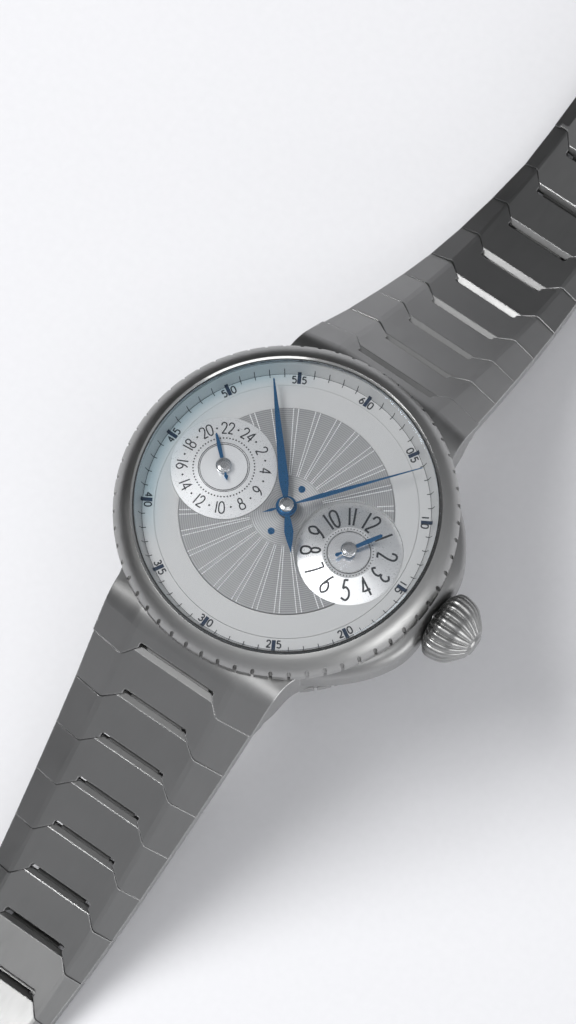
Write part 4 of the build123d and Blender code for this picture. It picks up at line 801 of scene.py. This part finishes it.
def crown_piece():
    """Onion crown: rounded ribs that run together into a small flat cap."""
    low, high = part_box("crown")
    foot_x, end_x = low[0] / MM, high[0] / MM
    axis_z = (low[2] + high[2]) / 2 / MM
    profile = crown_profile(foot_x, end_x, (high[2] - low[2]) / 2 / MM)
    mesh = bmesh.new()
    rings = [crown_ring(mesh, x, axis_z, CROWN_BORE_R) for x in (foot_x + CROWN_BORE_DEPTH, foot_x)]
    for index, (x, radius) in enumerate(profile):
        groove = groove_depth(index / (len(profile) - 1), radius)
        rings.append(crown_ring(mesh, x, axis_z, radius, groove))
    for back, radius in CROWN_CAP:
        rings.append(crown_ring(mesh, end_x - back, axis_z, radius))
    join_rings(mesh, rings)
    mesh.faces.new(rings[0])
    tip = mesh.verts.new((end_x * MM, 0.0, axis_z * MM))
    cap = rings[-1]
    for k, point in enumerate(cap):
        mesh.faces.new((point, cap[(k + 1) % len(cap)], tip))
    obj = make_piece(mesh, "crown_ribbed", "crown",
                     FINISHES["steel_polished"], smooth=True)
    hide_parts("crown")


minute_track()
zone_print()
hour_print()
guilloche_ribs()
crown_piece()


# ---------------------------------------------------------------- floor and camera
def floor_material():
    shade = Shade("pale_floor")
    fine = shade.noise(shade.position(), 900.0)
    shade.set("Base Color", shade.mix(fine, (0.80, 0.80, 0.82, 1.0), (0.84, 0.84, 0.86, 1.0)))
    shade.set("Roughness", shade.vary(fine, 0.5, 0.6))
    return shade.material


bpy.ops.mesh.primitive_plane_add(size=4.0, location=(0.0, 0.0, FLOOR_Z * MM))
floor = bpy.context.object
floor.name = "floor"
floor.data.materials.append(floor_material())

# The camera stands above the six o'clock side, towards the crown; its place is in metres.
CAMERA_POSITION = Vector((0.10272, -0.13252, 0.54274))
CAMERA_RIGHT = Vector((0.8161, 0.5777, -0.0133))
CAMERA_UP = Vector((-0.5480, 0.7810, 0.2996))
CAMERA_BACK = Vector((0.1835, -0.2372, 0.9540))
FOCAL_MM = 163.3
SENSOR_MM = 36.0

camera_data = bpy.data.cameras.new("camera")
camera_data.lens = FOCAL_MM
camera_data.sensor_width = SENSOR_MM
camera_data.clip_start = 0.01
camera = bpy.data.objects.new("camera", camera_data)
bpy.context.scene.collection.objects.link(camera)
facing = Matrix((CAMERA_RIGHT, CAMERA_UP, CAMERA_BACK)).transposed().to_4x4()
camera.matrix_world = Matrix.Translation(CAMERA_POSITION) @ facing
bpy.context.scene.camera = camera


# ---------------------------------------------------------------- light
LIGHT_TARGET = Vector((0.0, 0.0, 0.01))
WORLD_DARK, WORLD_BRIGHT = 0.05, 0.55
TOWARDS_BRIGHT = (0.86, -0.38, 0.34)


def soft_light(name, direction, distance, size, power):
    """Square area light aimed at the dial. Its direction is (right, up, back) as the camera
    sees it; distance and size are in metres, power in watts."""
    right, up, back = direction
    away = (CAMERA_RIGHT * right + CAMERA_UP * up + CAMERA_BACK * back).normalized()
    data = bpy.data.lights.new(name, "AREA")
    data.shape = "SQUARE"
    data.size = size
    data.energy = power
    lamp = bpy.data.objects.new(name, data)
    bpy.context.scene.collection.objects.link(lamp)
    lamp.location = LIGHT_TARGET + away * distance
    lamp.rotation_mode = "QUATERNION"
    lamp.rotation_quaternion = away.to_track_quat("Z", "Y")
    return lamp


# The key casts the shadow but stays out of the metal, which mirrors the sheen instead.
key = soft_light("key", (-0.66, 0.62, 1.0), 0.55, 0.20, 1.5)
key.visible_glossy = False
soft_light("sheen", (-0.45, 0.30, 1.0), 0.7, 0.22, 1.5)
soft_light("top", (0.1, -0.05, 1.0), 0.9, 0.45, 1.3)
soft_light("right", (1.2, -0.9, 0.6), 0.9, 0.5, 2.0)


def studio_world():
    """Plain studio: brighter on the crown side, darker past twelve and nine o'clock."""
    world = bpy.data.worlds.new("studio")
    world.use_nodes = True
    tree = world.node_tree
    place = tree.nodes.new("ShaderNodeTexCoord")
    aim = tree.nodes.new("ShaderNodeVectorMath")
    aim.operation = "DOT_PRODUCT"
    aim.inputs[1].default_value = TOWARDS_BRIGHT
    tree.links.new(place.outputs["Generated"], aim.inputs[0])
    ramp = tree.nodes.new("ShaderNodeMapRange")
    ramp.interpolation_type = "SMOOTHSTEP"
    ramp.inputs["From Min"].default_value = -0.75
    ramp.inputs["From Max"].default_value = 0.95
    ramp.inputs["To Min"].default_value = WORLD_DARK
    ramp.inputs["To Max"].default_value = WORLD_BRIGHT
    tree.links.new(aim.outputs["Value"], ramp.inputs["Value"])
    background = tree.nodes["Background"]
    background.inputs["Color"].default_value = (0.96, 0.97, 1.0, 1.0)
    tree.links.new(ramp.outputs["Result"], background.inputs["Strength"])
    bpy.context.scene.world = world


studio_world()
bpy.context.scene.view_settings.view_transform = "Standard"
